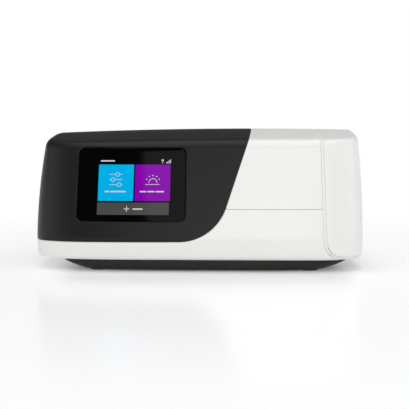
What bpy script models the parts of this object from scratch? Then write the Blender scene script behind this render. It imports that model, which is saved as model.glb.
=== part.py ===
"""A home CPAP machine with a touch screen and a side-loading water tub.

Units are metres. +X is the viewer's right, +Y is the back, +Z is up. The origin is at the
middle of the base, on the surface that the feet stand on. The housing is one smooth body form,
and its covers are cut from that form, so every seam follows the same surface.
"""
import math

import bmesh
import bpy
import numpy as np
from mathutils import Matrix, Vector

for old in list(bpy.data.objects):
    bpy.data.objects.remove(old, do_unlink=True)

# Overall sizes
WIDTH = 0.250
DEPTH = 0.138
HEIGHT = 0.1065
OUTLET_REACH = 0.0140
WALL = 0.0022
GAP = 0.0003
DOOR_GAP = 0.0006
OVERRUN = 0.010
BODY_FRONT = -DEPTH / 2
BODY_BACK = DEPTH / 2 - OUTLET_REACH
BODY_LEFT = -WIDTH / 2
BODY_RIGHT = WIDTH / 2

# The body form, seen from above: two squared ovals that meet at the plan centre line
PLAN_SHIFT = 0.0010
PLAN_CENTRE_Y = (BODY_FRONT + BODY_BACK) / 2 - PLAN_SHIFT
LEFT_POWER = 4.0
RIGHT_POWER = 5.0
BELLY = 0.0085
# Its side profile: widest low down, leaning inwards up to the top edge
WIDEST_LEFT = 0.025
WIDEST_RIGHT = 0.035
SHOULDER = 0.0115
TOP_EDGE = HEIGHT - SHOULDER
LEFT_TAPER = 0.0056
RIGHT_TAPER = 0.0026
FRONT_LEAN = 0.0228
FRONT_LEAN_POWER = 1.08
BACK_LEAN = 0.0052
# The rolled lower edge and the softened top edge
ROLL_DEPTH_FRONT = 0.0090
ROLL_HEIGHT_FRONT = 0.0160
ROLL_DEPTH_END = 0.0035
ROLL_HEIGHT_END = 0.0050
CREASE_RADIUS = 0.0065
LEFT_EDGE_RADIUS = 0.0056
RIGHT_EDGE_RADIUS = 0.0032
# The top: a low ridge along X that drops to the front, the back and both ends
RIDGE_SETBACK = 0.0410
RIDGE_Y = BODY_BACK - RIDGE_SETBACK
ROOF_DROP = 0.0166
ROOF_SLOPE = ROOF_DROP / (RIDGE_Y - BODY_FRONT)
ROOF_ROUND = 0.012
CROWN_X = 0.038
CROWN_DROP = 0.0037
# Seams of the covers, as they run over the front
REAR_DEPTH = 0.0190
SPLIT_Y = BODY_BACK - REAR_DEPTH
SEAM_Z = 0.0462
FASCIA_TOP_X = 0.0410
FASCIA_SLOPE_SHARE = 0.333
FASCIA_FOOT_Z = 0.0226
FASCIA_DROOP = 0.0015
FASCIA_SWEEP = 0.036
CAP_LENGTH = 0.0303
CAP_X = BODY_RIGHT - CAP_LENGTH
CAP_LEAN = 0.0012
CAP_FOOT_Z = 0.0108
CAP_CORNER = 0.0130
TRIM_WIDTH = 0.0021
TRIM_DEPTH = 0.0060
# The glass in the fascia
GLASS_MARGIN = 0.0356
GLASS_DROP = 0.0149
GLASS_LEFT = BODY_LEFT + GLASS_MARGIN
GLASS_RIGHT = -0.0083
GLASS_BOTTOM = 0.0366
GLASS_TOP = HEIGHT - GLASS_DROP
GLASS_CORNER = 0.0050
GLASS_SINK = 0.0003
GLASS_THICKNESS = 0.0018
# The inside: a floor plate, and the bay that the tub slides into
FLOOR_PLATE = 0.0016
BAY_LEFT = 0.0244
BAY_BOTTOM = 0.0134
BAY_FRONT_MARGIN = 0.0254
BAY_BACK_MARGIN = 0.0114
BAY_TOP_MARGIN = 0.0219
BAY_FRONT = BODY_FRONT + BAY_FRONT_MARGIN
BAY_BACK = BODY_BACK - BAY_BACK_MARGIN
BAY_TOP = HEIGHT - BAY_TOP_MARGIN
BAY_WALL = 0.0016
TUB_CLEARANCE = 0.0015
TUB_WALL = 0.0020
TUB_END_GAP = 0.0130
TUB_RIGHT = BODY_RIGHT - TUB_END_GAP
PORT_HEIGHT_SHARE = 0.7388
INLET_PORT_SHARE = 0.2477
OUTLET_PORT_SHARE = 0.7294
PORT_Z = BAY_BOTTOM + PORT_HEIGHT_SHARE * (BAY_TOP - BAY_BOTTOM)
INLET_PORT_Y = BAY_FRONT + INLET_PORT_SHARE * (BAY_BACK - BAY_FRONT)
OUTLET_PORT_Y = BAY_FRONT + OUTLET_PORT_SHARE * (BAY_BACK - BAY_FRONT)
PORT_BORE = 0.0085
PORT_WALL = 0.0015
# The blower stands left of the main board, close in front of the rear covers
BLOWER_RADIUS_SHARE = 0.2391
BLOWER_RIGHT = -0.0270
BLOWER_BACK_MARGIN = 0.0015
BLOWER_RADIUS = BLOWER_RADIUS_SHARE * DEPTH
BLOWER_X = BLOWER_RIGHT - BLOWER_RADIUS
BLOWER_Y = SPLIT_Y - BLOWER_BACK_MARGIN - BLOWER_RADIUS
BLOWER_BOTTOM = 0.0240
BLOWER_TOP_SHARE = 0.5822
BLOWER_SPLIT_SHARE = 0.5789
BLOWER_TOP = HEIGHT * BLOWER_TOP_SHARE
BLOWER_SPLIT = BLOWER_BOTTOM + BLOWER_SPLIT_SHARE * (BLOWER_TOP - BLOWER_BOTTOM)
BLOWER_WALL = 0.0020
NOZZLE_MARGIN = 0.0005
NOZZLE_RADIUS = (BLOWER_TOP - BLOWER_SPLIT) / 2 - NOZZLE_MARGIN
NOZZLE_END_X = -0.0200

CHASSIS_TOP = BELLY + WALL + GAP + FLOOR_PLATE
NOZZLE_Z = (BLOWER_SPLIT + BLOWER_TOP) / 2
NOZZLE_Y = BLOWER_Y - BLOWER_RADIUS + BLOWER_WALL + NOZZLE_RADIUS


def finish(obj, colour, roughness, metallic=0.0):
    """Give the object a material of its own."""
    paint = bpy.data.materials.new(obj.name + "_finish")
    paint.use_nodes = True
    shader = paint.node_tree.nodes["Principled BSDF"]
    shader.inputs["Base Color"].default_value = (*colour, 1.0)
    shader.inputs["Roughness"].default_value = roughness
    shader.inputs["Metallic"].default_value = metallic
    obj.data.materials.clear()
    obj.data.materials.append(paint)
    return obj


def from_faces(name, points, faces):
    mesh = bpy.data.meshes.new(name)
    mesh.from_pydata([tuple(p) for p in points], [], faces)
    mesh.update()
    obj = bpy.data.objects.new(name, mesh)
    bpy.context.scene.collection.objects.link(obj)
    return obj


def loft(name, rings, tip=None):
    """Skin a stack of rings, lowest first, each counter-clockwise seen from above."""
    rings = np.asarray(rings)
    levels, around, _ = rings.shape
    points = [tuple(p) for p in rings.reshape(-1, 3)]
    faces = [tuple(reversed(range(around)))]
    for level in range(levels - 1):
        low, high = level * around, (level + 1) * around
        for k in range(around):
            after = (k + 1) % around
            faces.append((low + k, low + after, high + after, high + k))
    last = (levels - 1) * around
    if tip is None:
        faces.append(tuple(last + k for k in range(around)))
    else:
        points.append(tuple(tip))
        faces += [(last + k, last + (k + 1) % around, len(points) - 1) for k in range(around)]
    return from_faces(name, points, faces)


def block(name, low, high):
    """A box from its lowest to its highest corner."""
    (x0, y0, z0), (x1, y1, z1) = low, high
    ring = [(x0, y0), (x1, y0), (x1, y1), (x0, y1)]
    return loft(name, [[(x, y, z) for x, y in ring] for z in (z0, z1)])


def area(outline):
    return sum(a[0] * b[1] - b[0] * a[1] for a, b in zip(outline, outline[1:] + outline[:1]))


def prism(name, outline, axis, low, high):
    """Extrude a flat outline along an axis: (x, y) for Z, (x, z) for Y, (y, z) for X."""
    if area(outline) < 0:
        outline = outline[::-1]
    if axis == "Z":
        rings = [[(a, b, c) for a, b in outline] for c in (low, high)]
    elif axis == "X":
        rings = [[(c, a, b) for a, b in outline] for c in (low, high)]
    else:
        rings = [[(a, c, b) for a, b in outline] for c in (high, low)]
    return loft(name, rings)


def turned(name, profile, centre=(0, 0, 0), turn=None, around=24):
    """Turn a closed (radius, height) profile about Z, then tilt and move it."""
    if area(profile) < 0:
        profile = profile[::-1]
    angles = [2 * math.pi * k / around for k in range(around)]
    points, index = [], []
    for radius, height in profile:
        if radius <= 0:
            index.append([len(points)] * around)
            points.append((0, 0, height))
        else:
            index.append([len(points) + k for k in range(around)])
            points += [(radius * math.cos(t), radius * math.sin(t), height) for t in angles]
    faces = []
    for here, there in zip(index, index[1:] + index[:1]):
        for k in range(around):
            after = (k + 1) % around
            face = []
            for corner in (here[k], here[after], there[after], there[k]):
                if corner not in face:
                    face.append(corner)
            if len(face) > 2:
                faces.append(tuple(face))
    frame = Matrix.Translation(centre) @ (turn if turn else Matrix.Identity(4))
    obj = from_faces(name, [frame @ Vector(p) for p in points], faces)
    obj.data.shade_smooth()
    obj.data.set_sharp_from_angle(angle=math.radians(35))
    return obj


def rod(name, radius, low, high, centre=(0, 0, 0), turn=None, around=16):
    return turned(name, [(0, low), (radius, low), (radius, high), (0, high)], centre, turn, around)


def ring(name, outer, inner, low, high, centre=(0, 0, 0), turn=None, around=20):
    profile = [(inner, low), (outer, low), (outer, high), (inner, high)]
    return turned(name, profile, centre, turn, around)


ALONG_X = Matrix.Rotation(math.radians(90), 4, "Y")
ALONG_Y = Matrix.Rotation(math.radians(-90), 4, "X")
STUB_SHARE = 0.4


def hose(name, path, outer, wall, around=16):
    """A hollow tube along a list of points, open at both ends."""
    path = [Vector(p) for p in path]
    outside, inside = [], []
    side = Vector((0, 0, 1))
    for k, point in enumerate(path):
        ahead = (path[min(k + 1, len(path) - 1)] - path[max(k - 1, 0)]).normalized()
        across = ahead.cross(side).normalized()
        up = across.cross(ahead)
        for rows, radius in ((outside, outer), (inside, outer - wall)):
            rows.append([point + radius * (math.cos(t) * across + math.sin(t) * up)
                         for t in [2 * math.pi * j / around for j in range(around)]])
    rows = outside + inside[::-1]
    points = [p for row in rows for p in row]
    faces = []
    for level in range(len(rows)):
        here, there = level * around, (level + 1) % len(rows) * around
        for j in range(around):
            after = (j + 1) % around
            faces.append((here + j, there + j, there + after, here + after))
    obj = from_faces(name, points, faces)
    obj.data.shade_smooth()
    obj.data.set_sharp_from_angle(angle=math.radians(50))
    return obj


def bend(start, corner, end, steps=5):
    """Points of a smooth curve that leaves start towards corner and arrives at end from it."""
    a, b, c = Vector(start), Vector(corner), Vector(end)
    curve = [(1 - t) ** 2 * a + 2 * t * (1 - t) * b + t * t * c
             for t in [k / steps for k in range(steps + 1)]]
    stub = STUB_SHARE / steps
    return [a, a.lerp(b, stub)] + curve[1:-1] + [c.lerp(b, stub), c]


def combine(target, tool, operation):
    """Apply a Boolean of tool to target, and remove the tool."""
    step = target.modifiers.new("step", "BOOLEAN")
    step.object = tool
    step.operation = operation
    step.solver = "EXACT"
    bpy.context.view_layer.update()
    graph = bpy.context.evaluated_depsgraph_get()
    target.data = bpy.data.meshes.new_from_object(target.evaluated_get(graph))
    target.modifiers.clear()
    bpy.data.objects.remove(tool, do_unlink=True)
    return target


def cut(target, *tools):
    for tool in tools:
        combine(target, tool, "DIFFERENCE")
    return target


def keep(target, *tools):
    for tool in tools:
        combine(target, tool, "INTERSECT")
    return target


def add(target, *tools):
    for tool in tools:
        combine(target, tool, "UNION")
    return target


def together(tools):
    """One cutter from several that don't touch each other."""
    joint = bmesh.new()
    for tool in tools:
        joint.from_mesh(tool.data)
    joint.to_mesh(tools[0].data)
    joint.free()
    for tool in tools[1:]:
        bpy.data.objects.remove(tool, do_unlink=True)
    return tools[0]


def rounded(left, right, bottom, top, radius, steps=5):
    """Outline of a rectangle with round corners."""
    points = []
    corners = [(right - radius, bottom + radius, -90), (right - radius, top - radius, 0),
               (left + radius, top - radius, 90), (left + radius, bottom + radius, 180)]
    for x, y, start in corners:
        for k in range(steps + 1):
            t = math.radians(start + 90 * k / steps)
            points.append((x + radius * math.cos(t), y + radius * math.sin(t)))
    return points


def plan_point(angle, height, inset):
    """A point of the body's plan outline at a height, drawn in by an inset."""
    along, across = np.cos(angle), np.sin(angle)
    power = np.where(along < 0, LEFT_POWER, RIGHT_POWER)
    u = np.sign(along) * np.abs(along) ** (2 / power)
    v = np.sign(across) * np.abs(across) ** (2 / power)
    above_left = np.maximum(height - WIDEST_LEFT, 0) / (TOP_EDGE - WIDEST_LEFT)
    above_right = np.maximum(height - WIDEST_RIGHT, 0) / (TOP_EDGE - WIDEST_RIGHT)
    half = WIDTH / 2 - np.where(along < 0, LEFT_TAPER * above_left ** 2, RIGHT_TAPER * above_right ** 2)
    front = PLAN_CENTRE_Y - BODY_FRONT - FRONT_LEAN * above_left ** FRONT_LEAN_POWER
    back = BODY_BACK - PLAN_CENTRE_Y - BACK_LEAN * above_left ** 2
    reach = np.where(across < 0, front, back)
    return u * (half - inset), PLAN_CENTRE_Y + v * (reach - inset)


def top_height(x, y, inset=0.0):
    """Height of the top surface: a rounded ridge along X, crowned across the width."""
    crown = CROWN_DROP * ((x - CROWN_X) / (WIDTH / 2 + CROWN_X)) ** 2
    slope = ROOF_SLOPE * (np.sqrt((y - RIDGE_Y) ** 2 + ROOF_ROUND ** 2) - ROOF_ROUND)
    return HEIGHT - inset - crown - slope


def body_rings(inset, around, roll, side, edge, top):
    """Rings of the body form: the rolled foot, the leaning side, the soft edge, the top."""
    angle = 2 * np.pi * (np.arange(around)) / around
    frontness = np.sin(angle) ** 2
    brow = np.full(around, HEIGHT)
    for _ in range(8):
        brow = top_height(*plan_point(angle, brow, inset), inset)
    end_radius = (LEFT_EDGE_RADIUS + RIGHT_EDGE_RADIUS) / 2
    end_radius = end_radius - (LEFT_EDGE_RADIUS - RIGHT_EDGE_RADIUS) / 2 * np.cos(angle)
    radius = CREASE_RADIUS * frontness + end_radius * (1 - frontness)
    roll_depth = ROLL_DEPTH_END + (ROLL_DEPTH_FRONT - ROLL_DEPTH_END) * frontness
    roll_height = ROLL_HEIGHT_END + (ROLL_HEIGHT_FRONT - ROLL_HEIGHT_END) * frontness
    foot = BELLY + inset
    rings = []
    for k in range(roll):
        t = np.pi / 2 * k / roll
        z = foot + roll_height * (1 - np.cos(t))
        x, y = plan_point(angle, z, inset + roll_depth * (1 - np.sin(t)))
        rings.append(np.stack([x, y, z], 1))
    for k in range(side):
        z = foot + roll_height + (brow - radius - foot - roll_height) * k / side
        x, y = plan_point(angle, z, inset)
        rings.append(np.stack([x, y, z], 1))
    low = np.stack([*plan_point(angle, brow - radius, inset), brow - radius], 1)
    peak = np.stack([*plan_point(angle, brow, inset), brow], 1)
    inner_x, inner_y = plan_point(angle, brow, inset + radius)
    high = np.stack([inner_x, inner_y, top_height(inner_x, inner_y, inset)], 1)
    for k in range(edge + 1):
        t = k / edge
        rings.append((1 - t) ** 2 * low + 2 * t * (1 - t) * peak + t * t * high)
    for k in range(1, top):
        share = 1 - k / top
        x, y = inner_x * share, PLAN_CENTRE_Y + (inner_y - PLAN_CENTRE_Y) * share
        rings.append(np.stack([x, y, top_height(x, y, inset)], 1))
    return rings


def body(name, inset=0.0, fine=True):
    rings = body_rings(inset, *((56, 4, 5, 3, 4) if fine else (40, 3, 3, 2, 3)))
    tip = (0, PLAN_CENTRE_Y, float(top_height(0.0, PLAN_CENTRE_Y, inset)))
    return loft(name, rings, tip)


FAR = WIDTH
NEAR_SIDE = -DEPTH
FAR_SIDE = DEPTH


def fascia_outline(grow=0.0):
    """Front view of the dark fascia: a low edge that sweeps up into a leaning side."""
    lean = math.atan(FASCIA_SLOPE_SHARE)
    middle_z = FASCIA_FOOT_Z + FASCIA_SWEEP
    middle_x = FASCIA_TOP_X + ((middle_z - HEIGHT) * math.sin(lean) - FASCIA_SWEEP) / math.cos(lean)
    radius = FASCIA_SWEEP + grow
    steps = 10
    points = [(-FAR, FASCIA_FOOT_Z - FASCIA_DROOP - grow)]
    for k in range(steps + 1):
        t = -math.pi / 2 + (math.pi / 2 - lean) * k / steps
        points.append((middle_x + radius * math.cos(t), middle_z + radius * math.sin(t)))
    rise = HEIGHT + OVERRUN
    points.append((FASCIA_TOP_X + FASCIA_SLOPE_SHARE * OVERRUN + grow / math.cos(lean), rise))
    points.append((-FAR, rise))
    return points


def end_outline(grow=0.0):
    """Front view of the tub's end cap: a side with one big round lower corner."""
    radius = CAP_CORNER + grow
    middle = (CAP_X + CAP_CORNER, CAP_FOOT_Z + CAP_CORNER)
    steps = 8
    points = [(CAP_X - CAP_LEAN - grow, HEIGHT + OVERRUN)]
    for k in range(steps + 1):
        t = math.pi + math.pi / 2 * k / steps
        points.append((middle[0] + radius * math.cos(t), middle[1] + radius * math.sin(t)))
    points += [(FAR, CAP_FOOT_Z - grow), (FAR, HEIGHT + OVERRUN)]
    return points


def fascia_tool(grow=0.0):
    return prism("tool", fascia_outline(grow), "Y", NEAR_SIDE, FAR_SIDE)


def end_tool(grow=0.0):
    return prism("tool", end_outline(grow), "Y", NEAR_SIDE, FAR_SIDE)


def front_tool():
    return block("tool", (-FAR, NEAR_SIDE, -HEIGHT), (FAR, SPLIT_Y, HEIGHT + OVERRUN))


def window_tool(left, right, bottom, top, corner, near, far):
    return prism("tool", rounded(left, right, bottom, top, corner), "Y", near, far)


def skin(name, *regions):
    """A cover: the part of the body form inside every region, hollowed by the wall."""
    return cut(keep(body(name), *regions), body("tool", WALL, fine=False))


# The start button stands square to the top surface, behind its ridge
BUTTON_BACK_MARGIN = 0.0125
BUTTON_X = (GLASS_LEFT + GLASS_RIGHT) / 2
BUTTON_Y = SPLIT_Y - BUTTON_BACK_MARGIN
BUTTON_RADIUS = 0.0075
LIGHT_WIDTH = 0.0014
BUTTON_TRAVEL = 0.0008
BUTTON_DEPTH = 0.0060


def button_frame():
    """A frame on the top surface at the button, with its Z square to the surface."""
    reach = BUTTON_RADIUS
    x_rise = top_height(BUTTON_X + reach, BUTTON_Y) - top_height(BUTTON_X - reach, BUTTON_Y)
    y_rise = top_height(BUTTON_X, BUTTON_Y + reach) - top_height(BUTTON_X, BUTTON_Y - reach)
    normal = Vector((-x_rise / (2 * reach), -y_rise / (2 * reach), 1)).normalized()
    turn = normal.to_track_quat("Z", "Y").to_matrix().to_4x4()
    return (BUTTON_X, BUTTON_Y, float(top_height(BUTTON_X, BUTTON_Y))), turn


def make_front_fascia():
    obj = skin("front_fascia", fascia_tool(), front_tool())
    centre, turn = button_frame()
    hole = BUTTON_RADIUS + LIGHT_WIDTH + 2 * GAP
    cut(obj, window_tool(GLASS_LEFT, GLASS_RIGHT, GLASS_BOTTOM, GLASS_TOP, GLASS_CORNER,
                         NEAR_SIDE, 0),
        rod("tool", hole, -OVERRUN, OVERRUN, centre, turn, 32))
    finish(obj, (0.030, 0.031, 0.031), 0.42)


def make_upper_cover():
    region = block("tool", (-FAR, NEAR_SIDE, SEAM_Z), (FAR, FAR_SIDE, HEIGHT + OVERRUN))
    obj = skin("upper_cover", region, front_tool())
    cut(obj, fascia_tool(GAP), end_tool(TRIM_WIDTH + GAP))
    finish(obj, (0.86, 0.87, 0.84), 0.38)


# The base: a boat-shaped tray that flares up and out to the belly
BASE_LIFT = 0.0010
BASE_LEFT_MARGIN = 0.0350
BASE_RIGHT_MARGIN = 0.0260
BASE_FRONT_MARGIN = 0.0100
BASE_BACK_MARGIN = 0.0150
BASE_LEFT = -BODY_LEFT - BASE_LEFT_MARGIN
BASE_RIGHT = BODY_RIGHT - BASE_RIGHT_MARGIN
BASE_FRONT = PLAN_CENTRE_Y - BODY_FRONT - BASE_FRONT_MARGIN
BASE_BACK = BODY_BACK - PLAN_CENTRE_Y - BASE_BACK_MARGIN
BASE_FLARE_END = 0.0150
BASE_FLARE_SIDE = 0.0020
BASE_POWER = 5.0
BASE_WALL = 0.0020
# Screws that hold the base tray to the lower housing, and the bosses they bite into
SCREW_END_INSET = 0.0275
SCREW_FRONT_INSET = 0.0190
SCREW_BACK_INSET = 0.0120
SCREW_XS = (-BASE_LEFT + SCREW_END_INSET, BASE_RIGHT - SCREW_END_INSET)
SCREW_YS = (PLAN_CENTRE_Y - BASE_FRONT + SCREW_FRONT_INSET,
            PLAN_CENTRE_Y + BASE_BACK - SCREW_BACK_INSET)
SCREW_RADIUS = 0.0015
SCREW_HEAD_RADIUS = 0.0030
SCREW_HEAD = 0.0020
SCREW_LENGTH = 0.0090
BOSS_RADIUS = 0.0035
SCREWS = [(x, y) for x in SCREW_XS for y in SCREW_YS]


def make_lower_housing():
    obj = skin("lower_housing", front_tool())
    upper = block("tool", (0, NEAR_SIDE, SEAM_Z - GAP), (FAR, FAR_SIDE, HEIGHT + OVERRUN))
    cut(obj, upper, fascia_tool(GAP), end_tool(TRIM_WIDTH + GAP))
    cut(obj, together([rod("tool", SCREW_RADIUS + GAP, 0, CHASSIS_TOP, (x, y, 0))
                       for x, y in SCREWS]))
    finish(obj, (0.86, 0.87, 0.84), 0.38)


# Openings in the rear panel
OUTLET_X = 0.0060
OUTLET_RADIUS = 0.0110
SOCKET_X = -0.0240
SOCKET_Z = 0.0340
SOCKET_RADIUS = 0.0045
FILTER_MARGIN = 0.0390
FILTER_DROP = 0.0245
FILTER_LEFT = BODY_LEFT + FILTER_MARGIN
FILTER_RIGHT = -0.0420
FILTER_BOTTOM = 0.0340
FILTER_TOP = HEIGHT - FILTER_DROP
FILTER_CORNER = 0.0040
CARD_LEFT = -0.0400
CARD_RIGHT = -0.0120
CARD_LIFT = 0.0080
CARD_DOOR_HEIGHT = 0.0100
CARD_BOTTOM = BLOWER_TOP + CARD_LIFT
CARD_TOP = CARD_BOTTOM + CARD_DOOR_HEIGHT
CARD_CORNER = 0.0020


def filter_window(grow, near=0):
    return window_tool(FILTER_LEFT - grow, FILTER_RIGHT + grow, FILTER_BOTTOM - grow,
                       FILTER_TOP + grow, FILTER_CORNER + grow, near, FAR_SIDE)


def card_window(grow, near=0):
    return window_tool(CARD_LEFT - grow, CARD_RIGHT + grow, CARD_BOTTOM - grow,
                       CARD_TOP + grow, CARD_CORNER + grow, near, FAR_SIDE)


def rear_tool():
    return block("tool", (-FAR, SPLIT_Y + GAP, -HEIGHT), (FAR, FAR_SIDE, HEIGHT + OVERRUN))


def make_rear_panel():
    obj = skin("rear_panel", rear_tool())
    cut(obj, end_tool(TRIM_WIDTH + GAP), filter_window(DOOR_GAP), card_window(DOOR_GAP),
        rod("tool", OUTLET_RADIUS + 2 * GAP, 0, DEPTH, (OUTLET_X, 0, PORT_Z), ALONG_Y, 32),
        rod("tool", SOCKET_RADIUS + GAP, 0, DEPTH, (SOCKET_X, 0, SOCKET_Z), ALONG_Y))
    finish(obj, (0.86, 0.87, 0.84), 0.40)


VENTS = 6
VENT_HEIGHT = 0.0018
VENT_MARGIN = 0.0060


def make_rear_covers():
    """The filter cover, which the air enters by its slots, and the card cover, both flush."""
    doors = [skin("filter_cover", rear_tool(), filter_window(0)),
             skin("card_cover", rear_tool(), card_window(0))]
    pitch = (FILTER_TOP - FILTER_BOTTOM) / (VENTS + 1)
    lows = [FILTER_BOTTOM + pitch * (k + 1) - VENT_HEIGHT / 2 for k in range(VENTS)]
    cut(doors[0], together([block("tool", (FILTER_LEFT + VENT_MARGIN, 0, low),
                                  (FILTER_RIGHT - VENT_MARGIN, FAR_SIDE, low + VENT_HEIGHT))
                            for low in lows]))
    for door in doors:
        finish(door, (0.80, 0.81, 0.79), 0.42)


def make_bay_trim():
    """The white lip round the bay's mouth, which also runs under the end cap."""
    obj = keep(body("bay_trim"), end_tool(TRIM_WIDTH))
    cut(obj, end_tool(GAP), body("tool", TRIM_DEPTH, fine=False),
        block("tool", (BAY_LEFT, BAY_FRONT + BAY_WALL, BAY_BOTTOM + BAY_WALL),
              (FAR, BAY_BACK - BAY_WALL, BAY_TOP - BAY_WALL)))
    finish(obj, (0.88, 0.89, 0.86), 0.38)


CAP_RIB_SHARES = (0.24, 0.74)


def make_tub_end_cap():
    obj = keep(body("tub_end_cap"), end_tool())
    hollow = body("hollow", WALL, fine=False)
    for share in CAP_RIB_SHARES:
        z = BAY_BOTTOM + share * (BAY_TOP - BAY_BOTTOM)
        cut(hollow, block("tool", (TUB_RIGHT + GAP, NEAR_SIDE, z), (FAR, FAR_SIDE, z + WALL)))
    cut(obj, hollow)
    finish(obj, (0.86, 0.87, 0.84), 0.38)


def base_rings(inset, floor, top):
    """The flared tray's outline grows with height, mostly at its two ends."""
    around, levels = 40, 3
    angle = 2 * np.pi * np.arange(around) / around
    along, across = np.cos(angle), np.sin(angle)
    u = np.sign(along) * np.abs(along) ** (2 / BASE_POWER)
    v = np.sign(across) * np.abs(across) ** (2 / BASE_POWER)
    rings = []
    for step in range(levels + 1):
        z = floor + (top - floor) * step / levels
        share = math.sin(math.pi / 2 * (z - BASE_LIFT) / (BELLY - BASE_LIFT))
        half = np.where(along < 0, BASE_LEFT, BASE_RIGHT) + BASE_FLARE_END * share - inset
        reach = np.where(across < 0, BASE_FRONT, BASE_BACK) + BASE_FLARE_SIDE * share - inset
        rings.append(np.stack([u * half, PLAN_CENTRE_Y + v * reach, np.full(around, z)], 1))
    return rings


FOOT_RADIUS = 0.0065
FOOT_DEPTH = 0.0008
FOOT_END_INSET = 0.0155
FOOT_SIDE_INSET = 0.0125
FOOT_XS = (-BASE_LEFT + FOOT_END_INSET, BASE_RIGHT - FOOT_END_INSET)
FOOT_YS = (PLAN_CENTRE_Y - BASE_FRONT + FOOT_SIDE_INSET,
           PLAN_CENTRE_Y + BASE_BACK - FOOT_SIDE_INSET)
FEET = [(x, y) for x in FOOT_XS for y in FOOT_YS]


def make_base():
    top = BELLY - GAP
    tray = loft("base_tray", base_rings(0, BASE_LIFT, top))
    hollow = loft("hollow", base_rings(BASE_WALL, BASE_LIFT + BASE_WALL, BELLY + WALL))
    cut(hollow, together([rod("tool", 2 * BOSS_RADIUS - SCREW_RADIUS, 0, HEIGHT, (x, y, 0))
                          for x, y in SCREWS]))
    cut(tray, hollow)
    seat = BASE_LIFT + BASE_WALL + GAP
    stepped = [(0, -BASE_LIFT), (SCREW_HEAD_RADIUS + GAP, -BASE_LIFT),
               (SCREW_HEAD_RADIUS + GAP, seat), (SCREW_RADIUS + GAP, seat),
               (SCREW_RADIUS + GAP, HEIGHT), (0, HEIGHT)]
    pockets = [turned("tool", stepped, (x, y, 0), around=16) for x, y in SCREWS]
    pockets += [rod("tool", FOOT_RADIUS + GAP, -BASE_LIFT, BASE_LIFT + FOOT_DEPTH, (x, y, 0))
                for x, y in FEET]
    cut(tray, together(pockets))
    finish(tray, (0.022, 0.021, 0.020), 0.50)
    for k, (x, y) in enumerate(FEET):
        foot = rod(f"rubber_foot_{k + 1}", FOOT_RADIUS, 0, BASE_LIFT + FOOT_DEPTH - GAP, (x, y, 0))
        finish(foot, (0.03, 0.03, 0.03), 0.85)
    for k, (x, y) in enumerate(SCREWS):
        head = seat - GAP
        profile = [(0, head - SCREW_HEAD), (SCREW_HEAD_RADIUS, head - SCREW_HEAD),
                   (SCREW_HEAD_RADIUS, head), (SCREW_RADIUS, head),
                   (SCREW_RADIUS, head + SCREW_LENGTH), (0, head + SCREW_LENGTH)]
        screw = turned(f"case_screw_{k + 1}", profile, (x, y, 0), around=12)
        finish(screw, (0.62, 0.62, 0.62), 0.30, 1.0)


SCREEN_MIDDLE_X = (GLASS_LEFT + GLASS_RIGHT) / 2
SCREEN_MIDDLE_Z = (GLASS_BOTTOM + GLASS_TOP) / 2
LCD_SIDE_MARGIN = 0.00955
LCD_MARGIN = 0.0025
LCD_WIDTH = GLASS_RIGHT - GLASS_LEFT - 2 * LCD_SIDE_MARGIN
LCD_HEIGHT = GLASS_TOP - GLASS_BOTTOM - 2 * LCD_MARGIN
LCD_THICKNESS = 0.0036
LCD_SETBACK = 0.0056
BRACKET_WALL = 0.0020


def screen_frame():
    """A frame behind the middle of the glass, with -Y square to the leaning front."""
    lean = math.atan(FRONT_LEAN / (TOP_EDGE - WIDEST_LEFT))
    share = (SCREEN_MIDDLE_Z - WIDEST_LEFT) / (TOP_EDGE - WIDEST_LEFT)
    front = BODY_FRONT + FRONT_LEAN * share ** FRONT_LEAN_POWER
    place = Matrix.Translation((SCREEN_MIDDLE_X, front, SCREEN_MIDDLE_Z))
    return place @ Matrix.Rotation(-lean, 4, "X")


def make_screen():
    glass = keep(body("touch_glass", GLASS_SINK),
                 window_tool(GLASS_LEFT + GAP, GLASS_RIGHT - GAP, GLASS_BOTTOM + GAP,
                             GLASS_TOP - GAP, GLASS_CORNER - GAP, NEAR_SIDE, 0))
    cut(glass, body("tool", GLASS_SINK + GLASS_THICKNESS))
    finish(glass, (0.004, 0.004, 0.005), 0.05)
    frame = screen_frame()
    near, far = LCD_SETBACK, LCD_SETBACK + LCD_THICKNESS
    half_x, half_z = LCD_WIDTH / 2, LCD_HEIGHT / 2
    lcd = block("lcd_module", (-half_x, near, -half_z), (half_x, far, half_z))
    lcd.data.transform(frame)
    finish(lcd, (0.10, 0.12, 0.14), 0.25)
    outer_x, outer_z = half_x + GAP + BRACKET_WALL, half_z + GAP + BRACKET_WALL
    bracket = block("screen_bracket", (-outer_x, near, -outer_z),
                    (outer_x, far + GAP + BRACKET_WALL, outer_z))
    cut(bracket, block("tool", (-half_x - GAP, -OVERRUN, -half_z - GAP),
                       (half_x + GAP, far + GAP, half_z + GAP)),
        block("tool", (-half_x + OVERRUN, 0, -half_z + OVERRUN),
              (half_x - OVERRUN, far + OVERRUN, half_z - OVERRUN)))
    bracket.data.transform(frame)
    finish(bracket, (0.55, 0.56, 0.57), 0.35, 0.8)


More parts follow.
